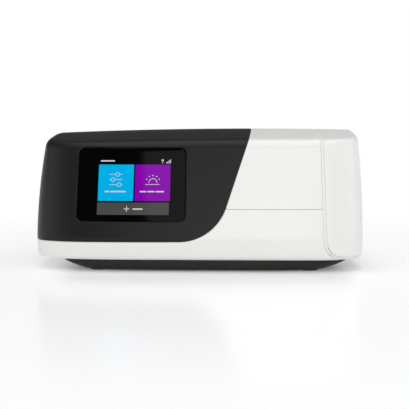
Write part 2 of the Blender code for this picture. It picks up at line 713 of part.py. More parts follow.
def make_button():
    centre, turn = button_frame()
    stem = BUTTON_RADIUS / 3
    button = keep(body("start_button"),
                  rod("tool", BUTTON_RADIUS, -OVERRUN, OVERRUN, centre, turn, 32))
    cut(button, body("tool", WALL, fine=False))
    add(button, rod("tool", stem, -BUTTON_DEPTH, -WALL / 2, centre, turn))
    finish(button, (0.62, 0.63, 0.62), 0.35)
    inner = BUTTON_RADIUS + GAP
    skirt = BUTTON_DEPTH + BUTTON_TRAVEL + GAP
    light = keep(body("start_light_ring"),
                 ring("tool", inner + LIGHT_WIDTH, inner, -skirt, OVERRUN, centre, turn, 32))
    finish(light, (0.55, 0.75, 0.62), 0.30)
    half = BUTTON_RADIUS + LIGHT_WIDTH + WALL
    frame = Matrix.Translation(centre) @ turn
    board = block("button_board", (-half, -half, -skirt - GAP - FLOOR_PLATE),
                  (half, half, -skirt - GAP))
    board.data.transform(frame)
    finish(board, (0.02, 0.20, 0.10), 0.45)


CHASSIS_LEFT_MARGIN = 0.0100
CHASSIS_RIGHT_MARGIN = 0.0370
CHASSIS_FRONT_MARGIN = 0.0220
CHASSIS_CORNER = 0.0200


def make_chassis():
    """The inner floor plate, with posts for the board, the blower and the bay."""
    left = BODY_LEFT + CHASSIS_LEFT_MARGIN
    right = BODY_RIGHT - CHASSIS_RIGHT_MARGIN
    front = BODY_FRONT + CHASSIS_FRONT_MARGIN
    base = BELLY + WALL + GAP
    obj = prism("chassis", rounded(left, right, front, SPLIT_Y - 2 * GAP, CHASSIS_CORNER), "Z",
                base, CHASSIS_TOP)
    cut(obj, together([rod("tool", BOSS_RADIUS, 0, HEIGHT, (x, y, 0)) for x, y in SCREWS]))
    for x, y in board_posts():
        add(obj, rod("tool", POST_RADIUS, base + GAP, BOARD_BOTTOM - GAP, (x, y, 0)))
    for x, y in mount_places():
        add(obj, rod("tool", MOUNT_RADIUS, base + GAP, MOUNT_BOTTOM - GAP, (x, y, 0)))
    finish(obj, (0.35, 0.36, 0.37), 0.55)


# The main board stands on posts between the blower and the bay
BOARD_LEFT = -0.0230
BOARD_RIGHT = 0.0200
BOARD_FRONT_MARGIN = 0.0290
BOARD_BACK_MARGIN = 0.0060
BOARD_FRONT = BODY_FRONT + BOARD_FRONT_MARGIN
BOARD_BACK = SPLIT_Y - BOARD_BACK_MARGIN
BOARD_BOTTOM = 0.0156
BOARD_THICKNESS = 0.0016
POST_RADIUS = 0.0025
POST_INSET = 0.0045
MOUNT_RADIUS = 0.0045
MOUNT_HEIGHT = 0.0040
MOUNT_INSET = 0.0070
MOUNT_REACH = BLOWER_RADIUS - MOUNT_INSET
MOUNT_BOTTOM = BLOWER_BOTTOM - GAP - MOUNT_HEIGHT
BOARD_TOP = BOARD_BOTTOM + BOARD_THICKNESS


def board_posts():
    xs = (BOARD_LEFT + POST_INSET, BOARD_RIGHT - POST_INSET)
    return [(x, y) for x in xs for y in (BOARD_FRONT + POST_INSET, BOARD_BACK - POST_INSET)]


def mount_places():
    turns = [math.radians(a) for a in (60, 180, 300)]
    return [(BLOWER_X + MOUNT_REACH * math.cos(t), BLOWER_Y + MOUNT_REACH * math.sin(t))
            for t in turns]


CAN_RADIUS = 0.0050
CAN_HEIGHT = 0.0160
CAN_PITCH = 0.0130
CAN_SETBACK = 0.0080
MODEM_INSET = 0.0030
MODEM_HEIGHT = 0.0260
# Parts on the board: the place of each middle as shares of the board, its half width, its half
# depth and its height
CHIP_PLACE_SHARES = ((0.30, 0.45), (0.72, 0.40), (0.25, 0.72), (0.55, 0.12), (0.78, 0.62))
CHIP_HALF_WIDTHS = (0.0070, 0.0045, 0.0060, 0.0080, 0.0040)
CHIP_HALF_DEPTHS = (0.0070, 0.0060, 0.0035, 0.0025, 0.0040)
CHIP_HEIGHTS = (0.0014, 0.0012, 0.0055, 0.0030, 0.0025)


def make_boards():
    obj = block("main_board", (BOARD_LEFT, BOARD_FRONT, BOARD_BOTTOM),
                (BOARD_RIGHT, BOARD_BACK, BOARD_TOP))
    seat = BOARD_TOP + GAP
    solder = BOARD_TOP - GAP
    for (u, v), half_x, half_y, tall in zip(CHIP_PLACE_SHARES, CHIP_HALF_WIDTHS,
                                            CHIP_HALF_DEPTHS, CHIP_HEIGHTS):
        x = BOARD_LEFT + u * (BOARD_RIGHT - BOARD_LEFT)
        y = BOARD_FRONT + v * (BOARD_BACK - BOARD_FRONT)
        add(obj, block("tool", (x - half_x, y - half_y, solder),
                       (x + half_x, y + half_y, BOARD_TOP + tall)))
    for k in range(2):
        add(obj, rod("tool", CAN_RADIUS, solder, BOARD_TOP + CAN_HEIGHT,
                     (BOARD_RIGHT - CAN_RADIUS - GAP - k * CAN_PITCH, BOARD_BACK - CAN_SETBACK, 0)))
    finish(obj, (0.02, 0.22, 0.11), 0.45)
    modem = block("modem_board", (BOARD_LEFT + MODEM_INSET, BOARD_BACK - BOARD_THICKNESS, seat),
                  (BOARD_RIGHT - MODEM_INSET, BOARD_BACK, seat + MODEM_HEIGHT))
    finish(modem, (0.02, 0.12, 0.22), 0.45)


# Heights inside the blower, as shares of its whole height
BOSS_TOP_SHARE = 0.4210
STATOR_LOW_SHARE = 0.1316
STATOR_HIGH_SHARE = 0.3684
CUP_TOP_SHARE = 0.5000
HUB_TOP_SHARE = 0.8421
# The motor and the impeller that it turns
MOTOR_BOSS_RADIUS = 0.0078
BEARING_RADIUS = 0.0050
BEARING_HEIGHT = 0.0040
SHAFT_RADIUS = 0.0022
STATOR_RADIUS = 0.0150
STATOR_SLOTS = 9
CUP_WALL = 0.0022
HUB_RADIUS = 0.0060
TIP_SHARE = 0.818
DISC_LIFT = 0.0010
DISC_THICKNESS = 0.0014
BLADES = 11
BLADE_WALL = 0.0009
BLADE_SWEEP = math.radians(38)
EYE_RADIUS = 0.0120


def blower_height(share):
    return BLOWER_BOTTOM + share * (BLOWER_TOP - BLOWER_BOTTOM)


def make_motor(centre, floor, boss_top):
    for end, low in (("lower", floor), ("upper", boss_top - BEARING_HEIGHT)):
        one = ring(f"motor_bearing_{end}", BEARING_RADIUS, SHAFT_RADIUS + GAP, low,
                   low + BEARING_HEIGHT, centre)
        finish(one, (0.70, 0.70, 0.70), 0.25, 1.0)
    low, high = blower_height(STATOR_LOW_SHARE), blower_height(STATOR_HIGH_SHARE)
    stator = ring("motor_stator", STATOR_RADIUS, MOTOR_BOSS_RADIUS + GAP, low, high, centre)
    slot_radius = STATOR_RADIUS / STATOR_SLOTS
    reach = STATOR_RADIUS - slot_radius * 3 / 4
    cut(stator, together([
        rod("tool", slot_radius, 0, HEIGHT,
            (BLOWER_X + reach * math.cos(t), BLOWER_Y + reach * math.sin(t), 0), around=10)
        for t in [2 * math.pi * k / STATOR_SLOTS for k in range(STATOR_SLOTS)]]))
    finish(stator, (0.60, 0.32, 0.16), 0.40, 0.9)
    cup_inner, cup_floor = STATOR_RADIUS + 2 * GAP, boss_top + 2 * GAP
    cup_top, bore = blower_height(CUP_TOP_SHARE), SHAFT_RADIUS + GAP
    rotor = turned("motor_rotor", [
        (bore, cup_floor), (cup_inner, cup_floor), (cup_inner, low), (cup_inner + CUP_WALL, low),
        (cup_inner + CUP_WALL, cup_top), (bore, cup_top)], centre)
    finish(rotor, (0.45, 0.46, 0.48), 0.35, 1.0)
    shaft = rod("motor_shaft", SHAFT_RADIUS, floor, blower_height(HUB_TOP_SHARE), centre)
    finish(shaft, (0.75, 0.75, 0.76), 0.20, 1.0)


def make_impeller(centre):
    """A disc on a hub, with blades swept back from the hub to the disc's edge."""
    low, high = blower_height(CUP_TOP_SHARE) + GAP, blower_height(HUB_TOP_SHARE)
    disc_low = BLOWER_SPLIT + DISC_LIFT
    disc_high = disc_low + DISC_THICKNESS
    tip = TIP_SHARE * BLOWER_RADIUS
    bore = SHAFT_RADIUS + GAP
    impeller = turned("impeller", [
        (bore, low), (HUB_RADIUS, low), (HUB_RADIUS, disc_low), (tip, disc_low),
        (tip, disc_high), (HUB_RADIUS, disc_high), (HUB_RADIUS, high), (bore, high)], centre)
    steps = 4
    for k in range(BLADES):
        start = 2 * math.pi * k / BLADES
        near, far = [], []
        for step in range(steps + 1):
            t = start + BLADE_SWEEP * step / steps
            radius = HUB_RADIUS - BLADE_WALL + (tip - HUB_RADIUS) * step / steps
            near.append((BLOWER_X + radius * math.cos(t), BLOWER_Y + radius * math.sin(t)))
            shift = t + math.pi / 2
            far.append((near[-1][0] + BLADE_WALL * math.cos(shift),
                        near[-1][1] + BLADE_WALL * math.sin(shift)))
        add(impeller, prism("tool", near + far[::-1], "Z", (disc_low + disc_high) / 2,
                            high - BLADE_WALL))
    finish(impeller, (0.85, 0.86, 0.86), 0.40)


def make_blower():
    centre = (BLOWER_X, BLOWER_Y, 0)
    floor = BLOWER_BOTTOM + BLOWER_WALL
    boss_top = blower_height(BOSS_TOP_SHARE)
    inner = BLOWER_RADIUS - BLOWER_WALL
    seat = BEARING_RADIUS + GAP
    lower = turned("blower_lower", [
        (seat, BLOWER_BOTTOM), (BLOWER_RADIUS, BLOWER_BOTTOM),
        (BLOWER_RADIUS, BLOWER_SPLIT - GAP), (inner, BLOWER_SPLIT - GAP), (inner, floor),
        (MOTOR_BOSS_RADIUS, floor), (MOTOR_BOSS_RADIUS, boss_top), (seat, boss_top)],
        centre, around=28)
    finish(lower, (0.20, 0.21, 0.22), 0.50)
    make_motor(centre, floor, boss_top)
    make_impeller(centre)
    ceiling = BLOWER_TOP - BLOWER_WALL
    upper = rod("blower_upper", BLOWER_RADIUS, BLOWER_SPLIT, BLOWER_TOP, centre, around=28)
    spot = (0, NOZZLE_Y, NOZZLE_Z)
    root = BLOWER_X + inner / 2
    add(upper, rod("tool", NOZZLE_RADIUS, root, NOZZLE_END_X, spot, ALONG_X))
    air = turned("air", [(0, 0), (inner, 0), (inner, ceiling), (EYE_RADIUS, ceiling),
                         (EYE_RADIUS, HEIGHT), (0, HEIGHT)], centre, around=28)
    add(air, rod("tool", NOZZLE_RADIUS - BLOWER_WALL / 2, root, NOZZLE_END_X + OVERRUN,
                 spot, ALONG_X))
    cut(upper, air)
    finish(upper, (0.20, 0.21, 0.22), 0.50)
    for k, (x, y) in enumerate(mount_places()):
        mount = rod(f"blower_mount_{k + 1}", MOUNT_RADIUS, MOUNT_BOTTOM, BLOWER_BOTTOM - GAP,
                    (x, y, 0))
        finish(mount, (0.25, 0.30, 0.45), 0.80)


def make_ducts():
    """The blower's hose to the tub, and the return elbow from the tub to the outlet."""
    outer = PORT_BORE + PORT_WALL
    start = Vector((NOZZLE_END_X + GAP, NOZZLE_Y, NOZZLE_Z))
    end = Vector((BAY_LEFT - GAP, INLET_PORT_Y, PORT_Z))
    middle = (start + end) / 2
    lead = Vector(((end.x - start.x) / 4, 0, 0))
    path = bend(start, start + lead, middle, 3)[:-2] + bend(middle, end - lead, end, 3)[2:]
    duct = hose("blower_duct", path, NOZZLE_RADIUS, PORT_WALL)
    finish(duct, (0.42, 0.44, 0.46), 0.70)
    inner_end = Vector((OUTLET_X, SPLIT_Y + 3 * GAP, PORT_Z))
    first = Vector((BAY_LEFT - GAP, OUTLET_PORT_Y, PORT_Z))
    elbow = hose("outlet_elbow", bend(first, (OUTLET_X, OUTLET_PORT_Y, PORT_Z), inner_end),
                 outer, PORT_WALL)
    finish(elbow, (0.42, 0.44, 0.46), 0.60)


OUTLET_WALL = 0.0016
OUTLET_FLANGE = 0.0150
FLANGE_THICKNESS = 0.0020


def rear_inner_y(x, height):
    """The rear wall's inner face at a place left of the middle."""
    share = max(height - WIDEST_LEFT, 0) / (TOP_EDGE - WIDEST_LEFT)
    reach = BODY_BACK - BACK_LEAN * share ** 2 - WALL - PLAN_CENTRE_Y
    half = WIDTH / 2 - LEFT_TAPER * share ** 2 - WALL
    return PLAN_CENTRE_Y + reach * (1 - abs(x / half) ** LEFT_POWER) ** (1 / LEFT_POWER)


def make_air_outlet():
    """The 22 mm outlet spigot, flanged on the inside of the rear wall."""
    seat = rear_inner_y(OUTLET_X, PORT_Z + OUTLET_FLANGE) - 2 * GAP
    start, end = SPLIT_Y + 4 * GAP, DEPTH / 2
    bore = OUTLET_RADIUS - OUTLET_WALL
    profile = [(bore, start), (OUTLET_RADIUS, start), (OUTLET_RADIUS, seat - FLANGE_THICKNESS),
               (OUTLET_FLANGE, seat - FLANGE_THICKNESS), (OUTLET_FLANGE, seat),
               (OUTLET_RADIUS, seat), (OUTLET_RADIUS, end), (bore, end)]
    obj = turned("air_outlet", profile, (OUTLET_X, 0, PORT_Z), ALONG_Y, around=32)
    finish(obj, (0.72, 0.73, 0.73), 0.40)


def make_filter():
    """The filter pad in its frame, behind the filter cover."""
    rim = 0.0020
    back = rear_inner_y(FILTER_LEFT - rim, FILTER_TOP + rim) - 2 * GAP
    front = SPLIT_Y + 2 * GAP
    frame = block("filter_frame", (FILTER_LEFT - rim, front, FILTER_BOTTOM - rim),
                  (FILTER_RIGHT + rim, back, FILTER_TOP + rim))
    shelf = front + rim
    cut(frame, block("tool", (FILTER_LEFT, shelf, FILTER_BOTTOM),
                     (FILTER_RIGHT, back + OVERRUN, FILTER_TOP)))
    slots = 5
    pitch = (FILTER_RIGHT - FILTER_LEFT - rim) / slots
    for k in range(slots):
        left = FILTER_LEFT + rim + k * pitch
        cut(frame, block("tool", (left, 0, FILTER_BOTTOM + rim),
                         (left + pitch - rim, shelf + GAP, FILTER_TOP - rim)))
    finish(frame, (0.30, 0.31, 0.32), 0.55)
    pad = block("air_filter", (FILTER_LEFT + GAP, shelf + GAP, FILTER_BOTTOM + GAP),
                (FILTER_RIGHT - GAP, back - GAP, FILTER_TOP - GAP))
    finish(pad, (0.88, 0.90, 0.92), 0.95)


FOAM_LEFT_REACH = 0.0260
FOAM_RIGHT_MARGIN = 0.0040
FOAM_FRONT_SHARE = 0.62
FOAM_DROP = 0.0205
FOAM_DUCT_LIFT = 0.0025


def make_foam():
    """The acoustic foam between the filter and the blower's eye."""
    low = BLOWER_TOP + GAP
    top = HEIGHT - FOAM_DROP
    front = BLOWER_Y - FOAM_FRONT_SHARE * BLOWER_RADIUS
    obj = block("muffler_foam", (BLOWER_X - FOAM_LEFT_REACH, front, low),
                (CARD_LEFT - FOAM_RIGHT_MARGIN, SPLIT_Y - GAP, top))
    cut(obj, rod("tool", EYE_RADIUS, 0, (low + top) / 2, (BLOWER_X, BLOWER_Y, 0)),
        block("tool", (BLOWER_X - EYE_RADIUS / 2, BLOWER_Y, low + FOAM_DUCT_LIFT),
              (BLOWER_X + EYE_RADIUS / 2, SPLIT_Y, (low + top) / 2)))
    finish(obj, (0.10, 0.10, 0.11), 0.98)


def make_tub_bay():
    """The bay liner: a box that is open to the right, with a flange behind the covers."""
    right = CAP_X - CAP_LEAN - TRIM_WIDTH - 2 * GAP
    flange = body("tub_bay", WALL + 2 * GAP, fine=False)
    keep(flange, block("tool", (right - BAY_WALL, NEAR_SIDE, 0), (right, FAR_SIDE, HEIGHT)))
    obj = add(flange, block("tool", (BAY_LEFT, BAY_FRONT, BAY_BOTTOM), (right, BAY_BACK, BAY_TOP)))
    cut(obj, block("tool", (BAY_LEFT + BAY_WALL, BAY_FRONT + BAY_WALL, BAY_BOTTOM + BAY_WALL),
                   (right + OVERRUN, BAY_BACK - BAY_WALL, BAY_TOP - BAY_WALL)))
    for y in (INLET_PORT_Y, OUTLET_PORT_Y):
        cut(obj, rod("tool", PORT_BORE, 0, BAY_LEFT + OVERRUN, (0, y, PORT_Z), ALONG_X))
    cut(obj, heater_block("tool", -GAP, 0, HEATER_TOP))
    finish(obj, (0.55, 0.57, 0.58), 0.50)
    seal_low = BAY_LEFT + BAY_WALL + GAP
    for side, y in (("inlet", INLET_PORT_Y), ("outlet", OUTLET_PORT_Y)):
        seal = ring(f"{side}_seal", PORT_BORE + SEAL_WIDTH, PORT_BORE, seal_low,
                    seal_low + TUB_CLEARANCE - GAP, (0, y, PORT_Z), ALONG_X)
        finish(seal, (0.70, 0.72, 0.74), 0.75)


SEAL_WIDTH = 0.0035
HEATER_TOP = BAY_BOTTOM + BAY_WALL + GAP
HEATER_INSET = 0.0140
HEATER_SIDE_INSET = 0.0176


def heater_block(name, inset, low, high):
    """A block over the heater's place in the bay's floor, drawn in by an inset."""
    return block(name, (BAY_LEFT + HEATER_INSET + inset, BAY_FRONT + HEATER_SIDE_INSET + inset, low),
                 (CAP_X - HEATER_INSET - inset, BAY_BACK - HEATER_SIDE_INSET - inset, high))


def make_heater():
    obj = heater_block("heater_plate", 0, CHASSIS_TOP + GAP, HEATER_TOP)
    finish(obj, (0.78, 0.79, 0.80), 0.30, 1.0)


TUB_LEFT = BAY_LEFT + BAY_WALL + TUB_CLEARANCE + GAP
TUB_FRONT = BAY_FRONT + BAY_WALL + TUB_CLEARANCE
TUB_BACK = BAY_BACK - BAY_WALL - TUB_CLEARANCE
TUB_BOTTOM = HEATER_TOP + GAP
TUB_SPLIT_SHARE = 0.5421
TUB_SPLIT = BAY_BOTTOM + TUB_SPLIT_SHARE * (BAY_TOP - BAY_BOTTOM)
TUB_TOP = BAY_TOP - BAY_WALL - TUB_CLEARANCE
TUB_CORNER = 0.0060
TUB_SEAL = 0.0012
PLATE_RIM = 0.0030


def tub_outline(inset):
    return rounded(TUB_LEFT + inset, TUB_RIGHT - inset, TUB_FRONT + inset, TUB_BACK - inset,
                   TUB_CORNER - inset)


def make_tub():
    obj = prism("tub_base", tub_outline(0), "Z", TUB_BOTTOM, TUB_SPLIT)
    cut(obj, prism("tool", tub_outline(TUB_WALL), "Z", TUB_BOTTOM + TUB_WALL, HEIGHT))
    cut(obj, heater_block("tool", PLATE_RIM, 0, TUB_SPLIT))
    finish(obj, (0.80, 0.86, 0.90), 0.08)
    plate = heater_block("tub_plate", PLATE_RIM + GAP, TUB_BOTTOM, TUB_BOTTOM + TUB_WALL / 2)
    finish(plate, (0.75, 0.76, 0.77), 0.25, 1.0)
    seal = prism("tub_seal", tub_outline(GAP), "Z", TUB_SPLIT + GAP, TUB_SPLIT + TUB_SEAL)
    cut(seal, prism("tool", tub_outline(TUB_WALL), "Z", 0, HEIGHT))
    finish(seal, (0.35, 0.55, 0.70), 0.70)
    low = TUB_SPLIT + TUB_SEAL + GAP
    lid = prism("tub_lid", tub_outline(0), "Z", low, TUB_TOP)
    cut(lid, prism("tool", tub_outline(TUB_WALL), "Z", 0, TUB_TOP - TUB_WALL))
    for y in (INLET_PORT_Y, OUTLET_PORT_Y):
        cut(lid, rod("tool", PORT_BORE, 0, TUB_LEFT + OVERRUN, (0, y, PORT_Z), ALONG_X))
    finish(lid, (0.78, 0.84, 0.88), 0.12)


SOCKET_HALF = 0.0070
SOCKET_SETBACK = 0.0025
SOCKET_BORE = 0.0033
SOCKET_DEPTH = 0.0100
PIN_RADIUS = 0.0011


def make_power_socket():
    """The DC inlet: a block behind the rear wall, a barrel through it, and its centre pin."""
    half = SOCKET_HALF
    seat = rear_inner_y(SOCKET_X - half, SOCKET_Z + half) - 2 * GAP
    end = rear_inner_y(SOCKET_X, SOCKET_Z) + WALL - GAP
    obj = block("power_socket", (SOCKET_X - half, SPLIT_Y + SOCKET_SETBACK, SOCKET_Z - half),
                (SOCKET_X + half, seat, SOCKET_Z + half))
    place = (SOCKET_X, 0, SOCKET_Z)
    floor = end - SOCKET_DEPTH
    add(obj, rod("tool", SOCKET_RADIUS, seat - WALL, end, place, ALONG_Y))
    cut(obj, rod("tool", SOCKET_BORE, floor, end + OVERRUN, place, ALONG_Y))
    finish(obj, (0.03, 0.03, 0.03), 0.45)
    pin = rod("socket_pin", PIN_RADIUS, floor + GAP, end - GAP, place, ALONG_Y, around=12)
    finish(pin, (0.80, 0.72, 0.45), 0.25, 1.0)


CARD_THICKNESS = 0.0021
CARD_WIDTH = 0.0240
CARD_LENGTH = 0.0320
CARD_PRESS = 0.0015
CARD_SOCKET_WALL = 0.0010


def make_card():
    """The memory card, flat in its socket behind the card cover."""
    middle_x = (CARD_LEFT + CARD_RIGHT) / 2
    middle_z = (CARD_BOTTOM + CARD_TOP) / 2
    wall, press = CARD_SOCKET_WALL, CARD_PRESS
    seat = rear_inner_y(CARD_LEFT, CARD_TOP) - 2 * GAP
    half, tall = CARD_WIDTH / 2, CARD_THICKNESS / 2
    card = block("memory_card", (middle_x - half, seat - CARD_LENGTH, middle_z - tall),
                 (middle_x + half, seat, middle_z + tall))
    finish(card, (0.05, 0.10, 0.30), 0.40)
    outer, height = half + GAP + wall, tall + GAP + wall
    socket = block("card_socket",
                   (middle_x - outer, seat - CARD_LENGTH - press - GAP - wall, middle_z - height),
                   (middle_x + outer, seat - GAP, middle_z + height))
    cut(socket, block("tool", (middle_x - half - GAP, seat - CARD_LENGTH - press - GAP,
                               middle_z - tall - GAP),
                      (middle_x + half + GAP, seat + OVERRUN, middle_z + tall + GAP)))
    finish(socket, (0.60, 0.61, 0.62), 0.35, 0.9)


SENSOR_INSET_X = 0.0065
SENSOR_INSET_Y = 0.0085
SENSOR_HALF = 0.0040
SENSOR_HEIGHT = 0.0060
NIPPLE_RADIUS = 0.0012
NIPPLE_HEIGHT = 0.0025


def make_sensor():
    """The flow sensor on the main board, with the nipple on its top."""
    x, y = BOARD_RIGHT - SENSOR_INSET_X, BOARD_FRONT + SENSOR_INSET_Y
    low = BOARD_TOP + GAP
    top = low + SENSOR_HEIGHT
    obj = block("flow_sensor", (x - SENSOR_HALF, y - SENSOR_HALF, low),
                (x + SENSOR_HALF, y + SENSOR_HALF, top))
    add(obj, rod("tool", NIPPLE_RADIUS, top - GAP, top + NIPPLE_HEIGHT, (x, y, 0), around=12))
    finish(obj, (0.85, 0.85, 0.82), 0.50)


RIBBON_THICKNESS = 0.0004
RIBBON_WIDTH = 0.0120
RIBBON_LIFT = 0.0030


def make_display_ribbon():
    """The flat cable that drops from the display to the front of the main board."""
    frame = screen_frame()
    near = LCD_SETBACK + LCD_THICKNESS + BRACKET_WALL + 3 * GAP
    start = frame @ Vector((0, near, -LCD_HEIGHT / 2))
    end = Vector((BOARD_LEFT, BOARD_FRONT + RIBBON_WIDTH, BOARD_TOP + GAP))
    line = [(p.y, p.z) for p in bend((0, start.y, start.z), (0, start.y, end.z + RIBBON_LIFT),
                                     (0, end.y, end.z), 8)]
    outline = line + [(y + RIBBON_THICKNESS, z + RIBBON_THICKNESS) for y, z in reversed(line)]
    x = BOARD_LEFT + GAP
    obj = prism("display_ribbon", outline, "X", x, x + RIBBON_WIDTH)
    finish(obj, (0.75, 0.45, 0.15), 0.45)


make_front_fascia()
make_upper_cover()
make_lower_housing()
make_rear_panel()
make_rear_covers()
make_bay_trim()
make_tub_end_cap()
make_base()
make_screen()
make_button()
make_chassis()
make_boards()
make_blower()
make_ducts()
make_air_outlet()
make_filter()
make_foam()
make_tub_bay()
make_heater()
make_tub()
make_power_socket()
make_card()
make_sensor()
make_display_ribbon()
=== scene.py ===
"""A bedside breathing-air machine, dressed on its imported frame.

Units are metres. +X is the viewer's right and the way the water tub slides out, +Y is the back,
+Z is up, and the feet stand on z = 0. The file goes through the studio, the covers of the housing,
the screen, the start button, the base, the back with its outlet, filter and card, the tub and last
the inside.
"""

import math

import bpy
import numpy as np
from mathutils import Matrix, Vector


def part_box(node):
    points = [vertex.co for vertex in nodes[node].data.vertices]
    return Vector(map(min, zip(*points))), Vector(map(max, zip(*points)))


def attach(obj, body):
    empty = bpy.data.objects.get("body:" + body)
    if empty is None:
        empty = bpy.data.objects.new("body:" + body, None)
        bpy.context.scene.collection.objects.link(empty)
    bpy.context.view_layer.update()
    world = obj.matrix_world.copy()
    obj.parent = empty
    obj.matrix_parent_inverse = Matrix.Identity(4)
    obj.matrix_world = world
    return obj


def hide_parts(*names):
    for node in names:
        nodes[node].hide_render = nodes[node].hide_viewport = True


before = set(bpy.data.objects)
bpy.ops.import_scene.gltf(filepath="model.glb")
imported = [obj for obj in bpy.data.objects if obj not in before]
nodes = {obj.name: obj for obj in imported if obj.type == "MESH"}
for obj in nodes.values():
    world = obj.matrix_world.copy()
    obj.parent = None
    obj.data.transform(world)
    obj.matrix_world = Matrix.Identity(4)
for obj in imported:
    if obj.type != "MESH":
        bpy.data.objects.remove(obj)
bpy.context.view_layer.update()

# The studio: a white table that runs into a white room, a wide soft lamp above, one in front and
# one at each side, and a long lens at the height of the machine's top edge.
scene = bpy.context.scene
scene.view_settings.view_transform = "Standard"
lens = bpy.data.cameras.new("studio_camera")
lens.lens, lens.sensor_width = 73.94, 36.0
camera = bpy.data.objects.new("studio_camera", lens)
camera.location = (0.027, -0.673, 0.092)
camera.rotation_euler = (math.radians(90 - 3.96), 0, math.radians(2))
scene.collection.objects.link(camera)
scene.camera = camera


def place_node(tree, kind, inputs=None, **settings):
    """Add a shader node, with its settings and its inputs: a value, or the socket it comes from."""
    made = tree.nodes.new(kind)
    for key, value in settings.items():
        setattr(made, key, value)
    for key, value in (inputs or {}).items():
        if isinstance(value, bpy.types.NodeSocket):
            tree.links.new(value, made.inputs[key])
        else:
            made.inputs[key].default_value = value
    return made


def reckon(tree, operation, *values, **settings):
    """A maths node on its values or sockets; its result."""
    return place_node(tree, "ShaderNodeMath", dict(enumerate(values)), operation=operation,
                      **settings).outputs[0]


def object_place(tree):
    """The place on the piece, and the same split into its three parts."""
    place = place_node(tree, "ShaderNodeTexCoord").outputs["Object"]
    return place, place_node(tree, "ShaderNodeSeparateXYZ", {0: place}).outputs


def mix_colour(tree, share, first, second):
    """A share of the way from the first colour to the second."""
    return place_node(tree, "ShaderNodeMix", {0: share, 6: first, 7: second},
                      data_type="RGBA").outputs[2]


def new_group(name, inputs, outputs):
    """A shader node group with named sockets, each of a kind such as Color; its inputs too."""
    group = bpy.data.node_groups.new(name, "ShaderNodeTree")
    for way, sockets in (("INPUT", inputs), ("OUTPUT", outputs)):
        for label, kind in sockets.items():
            group.interface.new_socket(label, in_out=way, socket_type=f"NodeSocket{kind}")
    return group, place_node(group, "NodeGroupInput").outputs


def lay_colour(material, share, colour):
    """Lay another colour over a finish by a share, a socket that changes over the surface."""
    tree = material.node_tree
    base = tree.nodes["Principled BSDF"].inputs["Base Color"]
    tree.links.new(mix_colour(tree, share, base.links[0].from_socket, (*colour, 1)), base)


# The room: the camera and what is seen through clear plastic get plain white. A reflection gets
# white near the horizon, which falls to a dark ceiling, and all else gets an even, dimmer light.
WHITE = (1, 1, 1, 1)
room = bpy.data.worlds.new("white_room")
room.use_nodes = True
tree = room.node_tree
tree.nodes.clear()
rays = place_node(tree, "ShaderNodeLightPath").outputs
through = reckon(tree, "ADD", rays["Is Camera Ray"], rays["Is Transmission Ray"], use_clamp=True)
aim = place_node(tree, "ShaderNodeTexCoord").outputs["Generated"]
rise = place_node(tree, "ShaderNodeSeparateXYZ", {0: aim}).outputs["Z"]
ceiling = place_node(tree, "ShaderNodeMapRange", {"Value": rise, "From Min": 0.06, "From Max": 0.34,
                                                  "To Min": 1.0, "To Max": 0.10},
                     interpolation_type="SMOOTHSTEP").outputs[0]
ambient, mirrored, white = [
    place_node(tree, "ShaderNodeBackground", {"Color": WHITE, "Strength": strength}).outputs[0]
    for strength in (0.36, ceiling, 1.0)]
lit = place_node(tree, "ShaderNodeMixShader", {0: rays["Is Glossy Ray"], 1: ambient, 2: mirrored})
both = place_node(tree, "ShaderNodeMixShader", {0: through, 1: lit.outputs[0], 2: white})
place_node(tree, "ShaderNodeOutputWorld", {"Surface": both.outputs[0]})
scene.world = room


def hang_lamp(name, place, aim, size, power):
    """A square soft lamp at a place, turned to face the aim."""
    lamp = bpy.data.lights.new(name, "AREA")
    lamp.shape, lamp.size, lamp.energy = "SQUARE", size, power
    holder = bpy.data.objects.new(name, lamp)
    holder.location = place
    toward = np.subtract(aim, place)
    flat = math.hypot(toward[0], toward[1])
    holder.rotation_euler = (math.atan2(flat, -toward[2]), 0,
                             math.atan2(toward[1], toward[0]) - math.pi / 2)
    scene.collection.objects.link(holder)


hang_lamp("lamp_above", (0.0, -0.10, 1.30), (0, 0, 0.05), 1.2, 7.5)
hang_lamp("lamp_front", (0.25, -1.55, 0.75), (0, 0, 0.05), 1.0, 7.5)
hang_lamp("lamp_left", (-1.30, -0.35, 0.55), (0, 0, 0.05), 0.8, 2.2)
hang_lamp("lamp_right", (1.30, -0.35, 0.55), (0, 0, 0.05), 0.8, 2.2)


def put_mesh(name, points, faces, sharp=42.0):
    """Make an object of its points and faces, shaded smooth except over sharp edges."""
    mesh = bpy.data.meshes.new(name)
    mesh.from_pydata(np.asarray(points).tolist(), [], faces)
    mesh.shade_smooth()
    mesh.set_sharp_from_angle(angle=math.radians(sharp))
    made = bpy.data.objects.new(name, mesh)
    scene.collection.objects.link(made)
    return made


def put_quads(name, points, quads):
    """Make an object of quads, some of which close to triangles or to nothing at a pole, and of
    only the points that they use."""
    merged = [list(dict.fromkeys(quad)) for quad in quads.reshape(-1, 4).tolist()]
    faces = [face for face in merged if len(face) > 2]
    used, flat = np.unique(np.concatenate([np.array(face) for face in faces]), return_inverse=True)
    ends = np.cumsum([len(face) for face in faces])[:-1]
    return put_mesh(name, points.reshape(-1, 3)[used], [face.tolist() for face in np.split(flat, ends)])


def ring_grid(rings, size):
    """The number of each point of a grid, ring by ring, and of the next point on its ring."""
    here = np.arange(rings * size).reshape(rings, size)
    return here, np.roll(here, -1, axis=1)


def close_hub(quads, hub, size):
    """Let every corner on one ring of a grid be that ring's first point."""
    return np.where(quads // size == hub, hub * size, quads)


